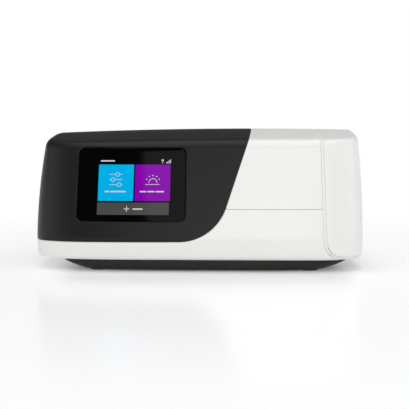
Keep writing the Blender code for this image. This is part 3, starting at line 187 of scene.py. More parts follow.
def table_top(radius=4.0, columns=96, rings=40):
    """A flat disc: ring k has radius r (k / n)^2, so the mesh is finest at the machine."""
    turn = np.linspace(0, 2 * np.pi, columns, endpoint=False)
    reach = radius * (np.arange(1, rings + 1) / rings) ** 2
    flat = np.stack([np.outer(reach, np.cos(turn)), np.outer(reach, np.sin(turn)),
                     np.zeros((rings, columns))], 2).reshape(-1, 3)
    low, after = ring_grid(rings - 1, columns)
    faces = np.stack([low, low + columns, after + columns, after], -1).reshape(-1, 4).tolist()
    return put_mesh("table_top", flat, faces + [list(range(columns))])


table = table_top()
gloss = bpy.data.materials.new("white_table")
gloss.use_nodes = True
tree = gloss.node_tree
shader = tree.nodes["Principled BSDF"]
where, _ = object_place(tree)
cloudy = place_node(tree, "ShaderNodeTexNoise", {"Vector": where, "Scale": 6.0, "Detail": 3.0})
tone = mix_colour(tree, cloudy.outputs[0], (0.925, 0.925, 0.925, 1), (0.935, 0.936, 0.935, 1))
tree.links.new(tone, shader.inputs["Base Color"])
for label, value in (("Roughness", 0.18), ("Specular IOR Level", 0.07), ("Emission Color", WHITE),
                     ("Emission Strength", 0.15)):
    shader.inputs[label].default_value = value
away = place_node(tree, "ShaderNodeVectorMath", {0: where}, operation="LENGTH")
fade = place_node(tree, "ShaderNodeMapRange", {"Value": away.outputs["Value"], "From Min": 0.16,
                                               "From Max": 0.55}, interpolation_type="SMOOTHSTEP")
rays = place_node(tree, "ShaderNodeLightPath").outputs
share = reckon(tree, "MULTIPLY", fade.outputs[0], rays["Is Camera Ray"])
glow = place_node(tree, "ShaderNodeEmission", {"Color": WHITE, "Strength": 1.0})
blend = place_node(tree, "ShaderNodeMixShader", {0: share, 1: shader.outputs[0], 2: glow.outputs[0]})
tree.links.new(blend.outputs[0], tree.nodes["Material Output"].inputs["Surface"])
table.data.materials.append(gloss)

# The front fascia: one black moulding that wraps the left end, the top and the front. Like every
# cover it is a thin wall cut from the same smooth housing form, clipped to the inner floor.
WIDTH, DEPTH, HEIGHT = 0.250, 0.138, 0.1065
WALL, GAP = 0.0022, 0.0003
BROW_STEPS = 7
BODY_FRONT, BODY_BACK = -0.069, 0.055
PLAN_CENTRE_Y = -0.008
LEFT_POWER, RIGHT_POWER, BELLY = 4.0, 5.0, 0.0085
WIDEST_LEFT, WIDEST_RIGHT, TOP_EDGE = 0.025, 0.035, 0.095
LEFT_TAPER, RIGHT_TAPER = 0.0056, 0.0026
FRONT_LEAN, FRONT_LEAN_POWER, BACK_LEAN = 0.0228, 1.08, 0.0052
ROLL_DEPTH_FRONT, ROLL_HEIGHT_FRONT = 0.0090, 0.0160
ROLL_DEPTH_END, ROLL_HEIGHT_END = 0.0035, 0.0050
CREASE_RADIUS, LEFT_EDGE_RADIUS, RIGHT_EDGE_RADIUS = 0.0065, 0.0056, 0.0032
RIDGE_Y, ROOF_SLOPE, ROOF_ROUND = 0.014, 0.20, 0.012
CROWN_X, CROWN_DROP = 0.038, 0.0037
SPLIT_Y, SEAM_Z = 0.036, 0.0462
FASCIA_TOP_X, FASCIA_SLOPE = 0.0410, 0.333
FASCIA_FOOT_Z, FASCIA_DROOP, FASCIA_SWEEP = 0.0226, 0.0015, 0.036


def plan_shares(turn):
    """Shares of the half width and the reach on the plan outline |u|^n + |v|^n = 1.

    u and v are the cosine and sine of the turn over the n-norm of the two, with n the left or
    the right power, so the points are evenly spread round the corners.
    """
    along, across = np.cos(turn), np.sin(turn)
    power = np.where(along < 0, LEFT_POWER, RIGHT_POWER)
    norm = (np.abs(along) ** power + np.abs(across) ** power) ** (1 / power)
    return power, along / norm, across / norm


def plan_place(u, v, height, inset):
    """Plan point at a height: the half width shrinks with the square of the height above the
    widest place, and the front leans back with a power of it."""
    above_left = np.maximum(height - WIDEST_LEFT, 0) / (TOP_EDGE - WIDEST_LEFT)
    above_right = np.maximum(height - WIDEST_RIGHT, 0) / (TOP_EDGE - WIDEST_RIGHT)
    half = WIDTH / 2 - np.where(u < 0, LEFT_TAPER * above_left ** 2, RIGHT_TAPER * above_right ** 2)
    reach = np.where(v < 0, PLAN_CENTRE_Y - BODY_FRONT - FRONT_LEAN * above_left ** FRONT_LEAN_POWER,
                     BODY_BACK - PLAN_CENTRE_Y - BACK_LEAN * above_left ** 2)
    return u * (half - inset), PLAN_CENTRE_Y + v * (reach - inset)


def roof_height(x, y, inset=0.0):
    """A rounded ridge along X: the height less a slope times the hyperbolic distance from the
    ridge line, and less a parabola across the width."""
    crown = CROWN_DROP * ((x - CROWN_X) / (WIDTH / 2 + CROWN_X)) ** 2
    return (HEIGHT - inset - crown
            - ROOF_SLOPE * (np.sqrt((y - RIDGE_Y) ** 2 + ROOF_ROUND ** 2) - ROOF_ROUND))


def housing(turn, level, inset):
    """The housing form. Level 0 to 1 is the flat floor from its middle outwards, 1 to 2 a
    quarter ellipse that rolls into the side, 2 to 3 the leaning side, 3 to 4 a quadratic curve
    over the soft top edge, and 4 to 5 the roof inwards to its middle."""
    power, u, v = plan_shares(turn)
    frontness = np.abs(v) ** power
    endward = np.sign(u) * np.abs(u) ** (power / 2)
    brow = np.full(np.shape(turn), HEIGHT)
    for _ in range(BROW_STEPS):
        brow = roof_height(*plan_place(u, v, brow, inset), inset)
    end_radius = (LEFT_EDGE_RADIUS + RIGHT_EDGE_RADIUS) / 2
    end_radius = end_radius - (LEFT_EDGE_RADIUS - RIGHT_EDGE_RADIUS) / 2 * endward
    radius = CREASE_RADIUS * frontness + end_radius * (1 - frontness)
    roll_depth = ROLL_DEPTH_END + (ROLL_DEPTH_FRONT - ROLL_DEPTH_END) * frontness
    roll_height = ROLL_HEIGHT_END + (ROLL_HEIGHT_FRONT - ROLL_HEIGHT_END) * frontness
    foot = BELLY + inset
    t = np.pi / 2 * np.clip(level - 1, 0, 1)
    height = foot + roll_height * (1 - np.cos(t))
    height = height + (brow - radius - foot - roll_height) * np.clip(level - 2, 0, 1)
    x, y = plan_place(u, v, height, inset + roll_depth * (1 - np.sin(t)))
    spread = np.clip(level, 0, 1)
    wall = np.stack([x * spread, PLAN_CENTRE_Y + (y - PLAN_CENTRE_Y) * spread, height], -1)
    low = np.stack([*plan_place(u, v, brow - radius, inset), brow - radius], -1)
    peak = np.stack([*plan_place(u, v, brow, inset), brow], -1)
    x, y = plan_place(u, v, brow, inset + radius)
    high = np.stack([x, y, roof_height(x, y, inset)], -1)
    q = np.clip(level - 3, 0, 1)[..., None]
    edge = (1 - q) ** 2 * low + 2 * q * (1 - q) * peak + q * q * high
    spread = 1 - np.clip(level - 4, 0, 1)
    x, y = x * spread, PLAN_CENTRE_Y + (y - PLAN_CENTRE_Y) * spread
    roof = np.stack([x, y, roof_height(x, y, inset)], -1)
    level = np.asarray(level)[..., None]
    return np.where(level <= 3, wall, np.where(level <= 4, edge, roof))


HOUSING_LEVELS = np.concatenate([np.linspace(0, 1, 13)[:-1], np.linspace(1, 2, 11)[:-1],
                                 np.linspace(2, 3, 45)[:-1], np.linspace(3, 4, 11)[:-1],
                                 np.linspace(4, 5, 41)])
COLUMNS = 440
FAR_OUTSIDE, ON_THE_LINE, HALVINGS = 0.004, 2e-6, 12


def round_grid(levels, columns=COLUMNS):
    """Turn and level of every point of a grid that goes round, and its triangles, facing out."""
    turn = 2 * np.pi * np.arange(columns) / columns
    points = np.stack(np.meshgrid(turn, levels), -1).reshape(-1, 2)
    low, after = [part.ravel() for part in ring_grid(len(levels) - 1, columns)]
    return points, np.concatenate([np.stack([low, after, after + columns], 1),
                                   np.stack([low, after + columns, low + columns], 1)])


def score(points, faces, depth, mark):
    """Cut the triangles along the line where the depth equals the mark.

    The crossing on each edge is found by halving, and its turn and level are straight shares
    of the edge's two ends, taken the short way round.
    """
    value = depth(points) - mark
    value = np.where(np.abs(value) < ON_THE_LINE, ON_THE_LINE, value)
    above = value > 0
    count = above[faces].sum(1)
    crossed = (count == 1) | (count == 2)
    some, up = faces[crossed], above[faces[crossed]]
    alone = np.where(up.sum(1) == 1, up.argmax(1), (~up).argmax(1))
    some = some[np.arange(len(some))[:, None], (alone[:, None] + np.arange(3)) % 3]
    ends, index = np.unique(np.sort(np.concatenate([some[:, :2], some[:, ::2]]), axis=1), axis=0,
                            return_inverse=True)
    start, step = points[ends[:, 0]], points[ends[:, 1]] - points[ends[:, 0]]
    step[:, 0] = (step[:, 0] + np.pi) % (2 * np.pi) - np.pi
    near, far = np.zeros(len(ends)), np.ones(len(ends))
    for _ in range(HALVINGS):
        middle = (near + far) / 2
        same = (depth(start + step * middle[:, None]) - mark > 0) == above[ends[:, 0]]
        near, far = np.where(same, middle, near), np.where(same, far, middle)
    fresh = start + step * ((near + far) / 2)[:, None]
    first, second = index.reshape(2, -1) + len(points)
    pieces = [faces[~crossed], np.stack([some[:, 0], first, second], 1),
              np.stack([first, some[:, 1], some[:, 2]], 1), np.stack([first, some[:, 2], second], 1)]
    return np.vstack([points, fresh]), np.vstack(pieces)


def cut_wall(name, form, levels, region, wall, inset=0.0, soft=0.00035, columns=COLUMNS):
    """A moulded wall: the part of a form where the region's depth is positive, with its cut
    edges rounded by a quarter circle, and the same part again one wall further in.

    Near an edge the surface sinks by r - sqrt(r^2 - (r - depth)^2), with r the soft radius.
    """
    points, faces = round_grid(levels, columns)

    def depth(pairs):
        return region(*form(pairs[:, 0], pairs[:, 1], np.full(len(pairs), inset)).T)

    faces = faces[depth(points)[faces].max(1) > -FAR_OUTSIDE]
    for mark in (0.0, soft * 0.14, soft * 0.43, soft):
        points, faces = score(points, faces, depth, mark)
        if mark == 0.0:
            middle = form(points[:, 0], points[:, 1], np.full(len(points), inset))[faces].mean(1)
            faces = faces[region(*middle.T) > 0]
            kept, faces = np.unique(faces, return_inverse=True)
            points, faces = points[kept], faces.reshape(-1, 3)
    sink = soft - np.clip(depth(points), 0, soft)
    sink = soft - np.sqrt(soft ** 2 - sink ** 2)
    outside = form(points[:, 0], points[:, 1], inset + sink)
    inside = form(points[:, 0], points[:, 1], np.full(len(points), inset + wall))
    for spot in (levels[0], levels[-1]):
        pole = np.flatnonzero(points[:, 1] == spot)
        if len(pole) and np.ptp(outside[pole], axis=0).max() < 1e-7:
            faces = np.where(np.isin(faces, pole), pole[0], faces)
    faces = faces[(faces != np.roll(faces, -1, axis=1)).all(1)]
    edges = np.concatenate([faces[:, [0, 1]], faces[:, [1, 2]], faces[:, [2, 0]]])
    _, index, count = np.unique(np.sort(edges, axis=1), axis=0, return_inverse=True,
                                return_counts=True)
    rim = edges[count[index.ravel()] == 1]
    size = len(points)
    quads = np.stack([rim[:, 1], rim[:, 0], rim[:, 0] + size, rim[:, 1] + size], 1)
    used, flat = np.unique(np.concatenate([faces.ravel(), (faces[:, ::-1] + size).ravel(),
                                           quads.ravel()]), return_inverse=True)
    skins = 6 * len(faces)
    return put_mesh(name, np.vstack([outside, inside])[used], flat[:skins].reshape(-1, 3).tolist()
                    + flat[skins:].reshape(-1, 4).tolist())


def fascia_depth(x, z):
    """Distance inside the fascia's outline, seen from the front: the lesser of the distances
    to its foot line and its leaning side, and inside the sweep the arc's radius less the
    distance from its middle."""
    lean = math.atan(FASCIA_SLOPE)
    middle_z = FASCIA_FOOT_Z + FASCIA_SWEEP
    middle_x = FASCIA_TOP_X + ((middle_z - HEIGHT) * math.sin(lean) - FASCIA_SWEEP) / math.cos(lean)
    foot = z - FASCIA_FOOT_Z + FASCIA_DROOP * np.maximum(middle_x - x, 0) / (middle_x + WIDTH)
    side = (FASCIA_TOP_X - x) * math.cos(lean) + (z - HEIGHT) * math.sin(lean)
    across, up = x - middle_x, z - middle_z
    in_sweep = (across > 0) & (across * math.sin(lean) + up * math.cos(lean) < 0)
    in_sweep &= up < 0
    return np.where(in_sweep, FASCIA_SWEEP - np.hypot(across, up), np.minimum(foot, side))


def window_depth(across, up, left, right, bottom, top, corner):
    """Distance inside a rectangle with round corners."""
    beside = np.abs(across - (left + right) / 2) - (right - left) / 2 + corner
    over = np.abs(up - (bottom + top) / 2) - (top - bottom) / 2 + corner
    outside = np.hypot(np.maximum(beside, 0), np.maximum(over, 0))
    return corner - outside - np.minimum(np.maximum(beside, over), 0)


GLASS = (-0.0894, -0.0083, 0.0366, 0.0916)
GLASS_CORNER = 0.0050
BUTTON_X, BUTTON_Y = -0.04885, 0.0235
BUTTON_RADIUS, LIGHT_WIDTH, BUTTON_REACH = 0.0075, 0.0014, 0.03
BUTTON_Z = float(roof_height(BUTTON_X, BUTTON_Y))
across_slope = (roof_height(BUTTON_X + BUTTON_RADIUS, BUTTON_Y)
                - roof_height(BUTTON_X - BUTTON_RADIUS, BUTTON_Y)) / (2 * BUTTON_RADIUS)
back_slope = (roof_height(BUTTON_X, BUTTON_Y + BUTTON_RADIUS)
              - roof_height(BUTTON_X, BUTTON_Y - BUTTON_RADIUS)) / (2 * BUTTON_RADIUS)
BUTTON_AXIS = np.array([-across_slope, -back_slope, 1])
BUTTON_AXIS /= np.linalg.norm(BUTTON_AXIS)


def from_button(x, y, z):
    """Distance from the start button's axis: the length of the offset's part across it. Low down
    on the housing it is the whole width, so that the button's hole isn't cut there too."""
    offset = np.stack([x - BUTTON_X, y - BUTTON_Y, z - BUTTON_Z], -1)
    along = offset @ BUTTON_AXIS
    distance = np.linalg.norm(offset - along[..., None] * BUTTON_AXIS, axis=-1)
    return np.where(z > HEIGHT - BUTTON_REACH, distance, WIDTH)


def fascia_region(x, y, z):
    """Inside the outline and ahead of the rear panel, less the button's hole and the window."""
    hole = from_button(x, y, z) - BUTTON_RADIUS - LIGHT_WIDTH - 2 * GAP
    return np.minimum.reduce([fascia_depth(x, z), SPLIT_Y - y, hole,
                              -window_depth(x, z, *GLASS, GLASS_CORNER)])


# Moulded plastic, for every material that needs it: a fine spark-eroded grain, slow changes of
# gloss from the tool's polish, and a slight change of tone.
grain, given = new_group("moulded_grain", {"Colour": "Color", "Tone": "Float", "Roughness": "Float",
                                           "Polish": "Float", "Grain": "Float", "Relief": "Float"},
                         {"Colour": "Color", "Roughness": "Float", "Normal": "Vector"})
where, _ = object_place(grain)
broad = place_node(grain, "ShaderNodeTexNoise", {"Vector": where, "Scale": 38.0, "Detail": 4.0})
fine = place_node(grain, "ShaderNodeTexNoise", {"Vector": where, "Scale": given["Grain"], "Detail": 2.0})
swing = reckon(grain, "SUBTRACT", broad.outputs[0], 0.5)
lift = reckon(grain, "MULTIPLY_ADD", swing, given["Tone"], 1.0)
toned = place_node(grain, "ShaderNodeVectorMath", {0: given["Colour"], "Scale": lift},
                   operation="SCALE")
worn = reckon(grain, "MULTIPLY_ADD", swing, given["Polish"], given["Roughness"])
bumpy = place_node(grain, "ShaderNodeBump", {"Strength": given["Relief"], "Distance": 0.0002,
                                             "Height": fine.outputs[0]})
place_node(grain, "NodeGroupOutput", {"Colour": toned.outputs[0], "Roughness": worn,
                                      "Normal": bumpy.outputs[0]})


def moulded(name, colour, roughness=0.4, tone=0.04, polish=0.06, grain_scale=2500.0, relief=0.06,
            **sockets):
    """A plastic, rubber or metal finish with the moulded grain, and its own plain sockets."""
    made = bpy.data.materials.new(name)
    made.use_nodes = True
    tree = made.node_tree
    shader = tree.nodes["Principled BSDF"]
    for key, value in sockets.items():
        shader.inputs[key.replace("_", " ")].default_value = value
    face = place_node(tree, "ShaderNodeGroup", node_tree=grain)
    for key, value in (("Colour", (*colour, 1)), ("Tone", tone), ("Roughness", roughness),
                       ("Polish", polish), ("Grain", grain_scale), ("Relief", relief)):
        face.inputs[key].default_value = value
    for label, socket in (("Colour", "Base Color"), ("Roughness", "Roughness"), ("Normal", "Normal")):
        tree.links.new(face.outputs[label], shader.inputs[socket])
    return made


def dress(piece, material, body="case", stands_for=()):
    """Give a new piece its material and its body, and hide the CAD nodes that it stands for."""
    piece.data.materials.append(material)
    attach(piece, body)
    if stands_for:
        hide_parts(*stands_for)
    return piece


def cover(name, region, material, slot, stands_for, body="case", wall=WALL, **settings):
    """A wall cut from the housing form, dressed in one go."""
    piece = cut_wall(name, housing, HOUSING_LEVELS, region, wall, **settings)
    return dress(piece, material, body, [stands_for])


def repaint(material, *names):
    """Put a material on CAD nodes that keep their own shape."""
    for name in names:
        nodes[name].material_slots[0].material = material


black_satin = moulded("black_satin", (0.0095, 0.0098, 0.0092), 0.40, tone=0.10, relief=0.10,
                      Specular_IOR_Level=0.22)
cover("fascia_moulding", fascia_region, black_satin, "dark_shell", "front_fascia")

# The white covers: the upper cover and the lower housing meet in one straight seam, and both
# stop at the trim round the tub's bay. Glossy-satin ABS, snapped over the inner floor.
CAP_X, CAP_LEAN, CAP_FOOT_Z, CAP_CORNER = 0.0947, 0.0012, 0.0108, 0.0130
CAP_LEAN_TOP = HEIGHT + 0.010
TRIM_WIDTH, TRIM_DEPTH = 0.0021, 0.0060


def cap_depth(x, z):
    """Distance inside the tub end cap's outline: the lesser of the distances to its leaning side
    and its foot, and in the corner the radius less the distance from its middle."""
    corner_x, corner_z = CAP_X + CAP_CORNER, CAP_FOOT_Z + CAP_CORNER
    side = x - CAP_X + CAP_LEAN * (z - corner_z) / (CAP_LEAN_TOP - corner_z)
    foot = z - CAP_FOOT_Z
    corner = CAP_CORNER - np.hypot(corner_x - x, corner_z - z)
    return np.where((x < corner_x) & (z < corner_z), corner, np.minimum(side, foot))


def beside_cap(x, z):
    """Distance outside the trim round the end cap, less a gap."""
    return -cap_depth(x, z) - TRIM_WIDTH - GAP


def white_region(x, y, z, seam):
    """Ahead of the rear panel, beside the fascia and the bay's trim, on one side of the seam."""
    return np.minimum.reduce([seam, SPLIT_Y - y, -fascia_depth(x, z) - GAP, beside_cap(x, z)])


def upper_region(x, y, z):
    return white_region(x, y, z, z - SEAM_Z)


def lower_region(x, y, z):
    return white_region(x, y, z, SEAM_Z - GAP - z)


white_satin = moulded("white_satin", (0.865, 0.872, 0.845), 0.33, tone=0.012, polish=0.05, relief=0.05,
                      Specular_IOR_Level=0.45, Coat_Weight=0.10, Coat_Roughness=0.12)
cover("upper_cover_moulding", upper_region, white_satin, "white_shell", "upper_cover")
cover("lower_housing_moulding", lower_region, white_satin, "white_shell", "lower_housing")

# The trim round the mouth of the tub's bay, and the tub's end cap, which closes it flush. The
# cap is moulded in the covers' white and carries the clear tub, so it is the tub's handle too.


def trim_region(x, y, z):
    """A band of even width round the cap's outline, a gap away from it."""
    return np.minimum(cap_depth(x, z) + TRIM_WIDTH, -cap_depth(x, z) - GAP)


def cap_region(x, y, z):
    """Inside the cap's outline."""
    return cap_depth(x, z)


cover("bay_trim_moulding", trim_region, white_satin, "white_shell", "bay_trim", wall=TRIM_DEPTH)
cover("end_cap_moulding", cap_region, white_satin, "white_shell", "tub_end_cap", "water_tub")

# The touch glass: black-backed glass that follows the fascia, bonded over the display from
# inside, a hair below the moulding round it.
GLASS_SINK, GLASS_THICKNESS = 0.0003, 0.0018


def glass_region(x, y, z):
    """Inside the fascia's window by a gap, on the front only."""
    left, right, bottom, top = GLASS
    window = window_depth(x, z, left + GAP, right - GAP, bottom + GAP, top - GAP, GLASS_CORNER - GAP)
    return np.minimum(window, -y)


black_glass = moulded("black_glass", (0.0012, 0.0012, 0.0014), 0.06, tone=0.2, polish=0.03,
                      grain_scale=60.0, relief=0.004, Specular_IOR_Level=0.06)
cover("touch_glass_pane", glass_region, black_glass, "black_glass", "touch_glass",
      wall=GLASS_THICKNESS, inset=GLASS_SINK)

# What the display shows through the glass: two tiles over a grey bar, with plain icons and
# strokes where words would be. Each is a film of light a hair proud of the glass. A film's two
# faces lie at these heights over the glass, the icons' above the tiles'.
TILE_FILM, ICON_FILM = (0.00003, -0.00002), (0.00006, 0.00004)


def glass_face(x, z, proud):
    """The point of the glass at (x, z): the reach to the front times the n-th root of 1 less
    the n-th power of x over the half width."""
    above_left = np.maximum(z - WIDEST_LEFT, 0) / (TOP_EDGE - WIDEST_LEFT)
    above_right = np.maximum(z - WIDEST_RIGHT, 0) / (TOP_EDGE - WIDEST_RIGHT)
    sunk = GLASS_SINK - proud
    half = WIDTH / 2 - np.where(x < 0, LEFT_TAPER * above_left ** 2, RIGHT_TAPER * above_right ** 2)
    reach = PLAN_CENTRE_Y - BODY_FRONT - FRONT_LEAN * above_left ** FRONT_LEAN_POWER - sunk
    power = np.where(x < 0, LEFT_POWER, RIGHT_POWER)
    bulge = (1 - np.abs(x / (half - sunk)) ** power) ** (1 / power)
    return np.stack([x, PLAN_CENTRE_Y - reach * bulge, z], -1)


def film(outer, inner=None, rings=3, heights=ICON_FILM):
    """Points and faces of a thin closed film between two outlines of equal count, or from an
    outline to its middle: rows run from the outer outline to the inner in straight shares."""
    shares = np.linspace(0, 1, rings)[:, None, None]
    front = outer * (1 - shares) + (outer.mean(0) if inner is None else inner) * shares
    rows = np.concatenate([front, front[::-1]])
    proud = np.repeat(heights, rings)[:, None]
    points = glass_face(rows[..., 0], rows[..., 1], proud).reshape(-1, 3)
    low, after = ring_grid(len(rows), len(outer))
    quads = np.stack([low, after, np.roll(after, -1, 0), np.roll(low, -1, 0)], -1)
    if inner is None:
        quads = np.delete(quads, rings - 1, axis=0)
        for hub in (rings - 1, rings):
            quads = close_hub(quads, hub, len(outer))
    return points, quads.reshape(-1, 4)


def lit_piece(name, films, material):
    """Join films into one piece of the display."""
    points, quads = zip(*films)
    base = np.cumsum([0] + [len(some) for some in points[:-1]])
    made = put_quads(name, np.vstack(points), np.vstack([q + b for q, b in zip(quads, base)]))
    return dress(made, material)


def pane(left, right, bottom, top, corner, steps=6):
    """Outline of a rectangle with round corners: quarter circles, and points in even shares of
    the path between them, so that its straight sides follow the curved glass."""
    t = np.arange(4)[:, None] * np.pi / 2 + np.linspace(-np.pi / 2, 0, steps + 1)
    x = np.array([right, right, left, left])[:, None] + corner * (np.cos(t) - [[1], [1], [-1], [-1]])
    z = np.array([bottom, top, top, bottom])[:, None] + corner * (np.sin(t) - [[-1], [1], [1], [-1]])
    loop = np.stack([x.ravel(), z.ravel()], 1)
    loop = np.vstack([loop, loop[:1]])
    path = np.concatenate([[0], np.cumsum(np.hypot(*np.diff(loop, axis=0).T))])
    marks = np.unique(np.concatenate([path, np.arange(0, path[-1], 0.0012)]).round(7))[:-1]
    return np.stack([np.interp(marks, path, loop[:, 0]), np.interp(marks, path, loop[:, 1])], 1)


def disc(x, z, radius, start=0.0, end=2 * np.pi, count=40):
    """Outline of a circle, or points of an arc, by cosine and sine of the turn."""
    t = np.linspace(start, end, count, endpoint=end - start < 2 * np.pi - 1e-6)
    return np.stack([x + radius * np.cos(t), z + radius * np.sin(t)], 1)


def band(line, width):
    """A film of even width along a line: its sides lie half the width to the left and the right
    of each point, and it narrows to a slit along the line itself."""
    along = np.gradient(line, axis=0)
    along /= np.linalg.norm(along, axis=1, keepdims=True)
    side = np.stack([-along[:, 1], along[:, 0]], 1) * width / 2
    loop = np.concatenate([line - side, (line + side)[::-1]])
    spine = np.concatenate([line, line[::-1]])
    return film(loop, spine * 0.999 + loop * 0.001)


# A display's light: its colour, fine rows and columns, and a slow rise towards the top.
glowing, given = new_group("display_light", {"Colour": "Color", "Fade": "Float"}, {"Light": "Color"})
where, parts = object_place(glowing)
columns, rows = [place_node(glowing, "ShaderNodeTexWave", {"Vector": where, "Scale": 1500.0},
                            bands_direction=way).outputs[1] for way in "XZ"]
pixel = place_node(glowing, "ShaderNodeMapRange", {"Value": reckon(glowing, "ADD", columns, rows),
                                                   "From Max": 2.0, "To Min": 0.94, "To Max": 1.04})
slope = place_node(glowing, "ShaderNodeMapRange", {
    "Value": parts["Z"], "From Min": 0.040, "From Max": 0.085, "To Min": 1.0,
    "To Max": reckon(glowing, "ADD", given["Fade"], 1.0)})
whole = reckon(glowing, "MULTIPLY", pixel.outputs[0], slope.outputs[0])
light = place_node(glowing, "ShaderNodeVectorMath", {0: given["Colour"], "Scale": whole},
                   operation="SCALE")
place_node(glowing, "NodeGroupOutput", {"Light": light.outputs[0]})


def display_light(name, colour, fade=0.0):
    """A film that only gives light, with the display's fine rows and columns."""
    made = bpy.data.materials.new(name)
    made.use_nodes = True
    tree = made.node_tree
    shader = tree.nodes["Principled BSDF"]
    for label, value in (("Base Color", (0, 0, 0, 1)), ("Roughness", 0.08),
                         ("Specular IOR Level", 0.06), ("Emission Strength", 1.0)):
        shader.inputs[label].default_value = value
    face = place_node(tree, "ShaderNodeGroup", {"Colour": (*colour, 1), "Fade": fade},
                      node_tree=glowing)
    tree.links.new(face.outputs["Light"], shader.inputs["Emission Color"])
    return made


cyan_light = display_light("cyan_light", (0.0, 0.402, 0.753), 0.10)
purple_light = display_light("purple_light", (0.223, 0.0, 0.376), 0.10)
grey_light = display_light("grey_light", (0.070, 0.067, 0.065))
white_light = display_light("white_light", (0.62, 0.62, 0.66))
for name, outline, rings, light in (
        ("settings_tile", pane(-0.0732, -0.0469, 0.0520, 0.0785, 0.0004), 9, cyan_light),
        ("comfort_tile", pane(-0.0459, -0.0198, 0.0520, 0.0785, 0.0004), 9, purple_light),
        ("menu_bar", pane(-0.0735, -0.0204, 0.0420, 0.0509, 0.0003), 7, grey_light)):
    lit_piece(name, [film(outline, rings=rings, heights=TILE_FILM)], light)


def stroke(left, right, bottom, top, rings=3):
    """A straight stroke with hardly rounded corners."""
    return film(pane(left, right, bottom, top, 0.0001), rings=rings)


# Three sliders with ring knobs, and a half sun with its rays over a horizon
icons = []
STROKE, KNOB, KNOB_HOLE = 0.00016, 0.00155, 0.00120
for height, knob in ((0.0713, -0.0590), (0.0675, -0.0623), (0.0638, -0.0576)):
    for start, end in ((-0.0650, knob - 0.0016), (knob + 0.0016, -0.0553)):
        icons.append(stroke(start, end, height - STROKE, height + STROKE))
    icons.append(film(disc(knob, height, KNOB), disc(knob, height, KNOB_HOLE)))
SUN_X, SUN_Z, SUN_RADIUS, SUN_RAYS = -0.0326, 0.0652, 0.0030, 0.0053
icons.append(band(disc(SUN_X, SUN_Z, SUN_RADIUS, 0.0, np.pi, 33), 0.00045))
icons.append(stroke(-0.0382, -0.0277, 0.0638, 0.0642))
for turn in np.radians([30, 60, 90, 120, 150]):
    icons.append(film(disc(SUN_X + SUN_RAYS * math.cos(turn), SUN_Z + SUN_RAYS * math.sin(turn),
                           0.00045, count=16), rings=2))
# A plus, and a plain bar for each word
icons.append(stroke(-0.0535, -0.0495, 0.0460, 0.0466))
for low, high in ((0.0443, 0.0459), (0.0467, 0.0483)):
    icons.append(stroke(-0.0518, -0.0512, low, high))
BAR = 0.0005
for left, right, height in ((-0.0683, -0.0648, 0.0588), (-0.0640, -0.0524, 0.0588),
                            (-0.0422, -0.0372, 0.0588), (-0.0364, -0.0312, 0.0588),
                            (-0.0304, -0.0242, 0.0588), (-0.0471, -0.0396, 0.0462),
                            (-0.0720, -0.0614, 0.0812)):
    icons.append(film(pane(left, right, height - BAR, height + BAR, 0.0004)))
# Four steps of signal, and a pin with a round head
for step in range(4):
    left = -0.0232 + 0.0010 * step
    icons.append(stroke(left, left + 0.0006, 0.0794, 0.0802 + 0.0007 * step, 2))
icons.append(film(disc(-0.0257, 0.0816, 0.0009, count=24), disc(-0.0257, 0.0816, 0.0004, count=24), 2))
icons.append(stroke(-0.0259, -0.0255, 0.0793, 0.0806, 2))
lit_piece("screen_icons", icons, white_light)

# The start button on top, behind the ridge, and the light ring round it: a push cap of grey
# gloss plastic with a stem down to its switch, and a clear green ring that is a light guide.
SKIRT = 0.0071
STEM_RADIUS, STEM_END, STEM_START = 0.0025, -0.0060, -0.0014


def button_region(x, y, z):
    """Inside a circle round the button's axis."""
    return BUTTON_RADIUS - from_button(x, y, z)


def ring_region(x, y, z):
    """Between two circles round the button's axis."""
    distance = from_button(x, y, z)
    return np.minimum(distance - BUTTON_RADIUS - GAP, BUTTON_RADIUS + GAP + LIGHT_WIDTH - distance)


def carried(name, profile, origin, axis, columns=64, wave=None):
    """A profile of (radius, height) carried round an axis: each point is the origin plus its
    height along the axis plus its radius at the turn; a wave of turn and height may add to
    the radius. The profile closes on itself, and poles close to one point."""
    axis = np.asarray(axis, float) / np.linalg.norm(axis)
    helper = np.array([1.0, 0, 0]) if abs(axis[0]) < 0.9 else np.array([0, 1.0, 0])
    side = np.cross(helper, axis)
    side /= np.linalg.norm(side)
    other = np.cross(axis, side)
    turn = 2 * np.pi * np.arange(columns) / columns
    radius, height = np.array(profile, float).T
    reach = radius[:, None] * np.ones(columns)
    if wave is not None:
        reach = reach + wave(turn[None, :], height[:, None]) * (radius > 0)[:, None]
    points = (np.asarray(origin) + height[:, None, None] * axis
              + reach[..., None] * (np.cos(turn)[:, None] * side + np.sin(turn)[:, None] * other))
    low, after = ring_grid(len(radius), columns)
    quads = np.stack([low, after, np.roll(after, -1, 0), np.roll(low, -1, 0)], -1)
    for hub in np.flatnonzero(radius <= 0):
        quads = close_hub(quads, hub, columns)
    return put_quads(name, points, quads)


def softened(profile, radius, steps=4):
    """Round the corners of a closed profile with quadratic curves that start a radius away."""
    points = np.array(profile, float)
    out = []
    for before, corner, after in zip(np.roll(points, 1, 0), points, np.roll(points, -1, 0)):
        if corner[0] <= 0:
            out.append(corner)
            continue
        start, end = [corner + (other - corner) / max(length, 1e-9) * min(radius, 0.45 * length)
                      for other in (before, after) for length in [np.linalg.norm(other - corner)]]
        for t in np.linspace(0, 1, steps):
            out.append((1 - t) ** 2 * start + 2 * t * (1 - t) * corner + t * t * end)
    return out


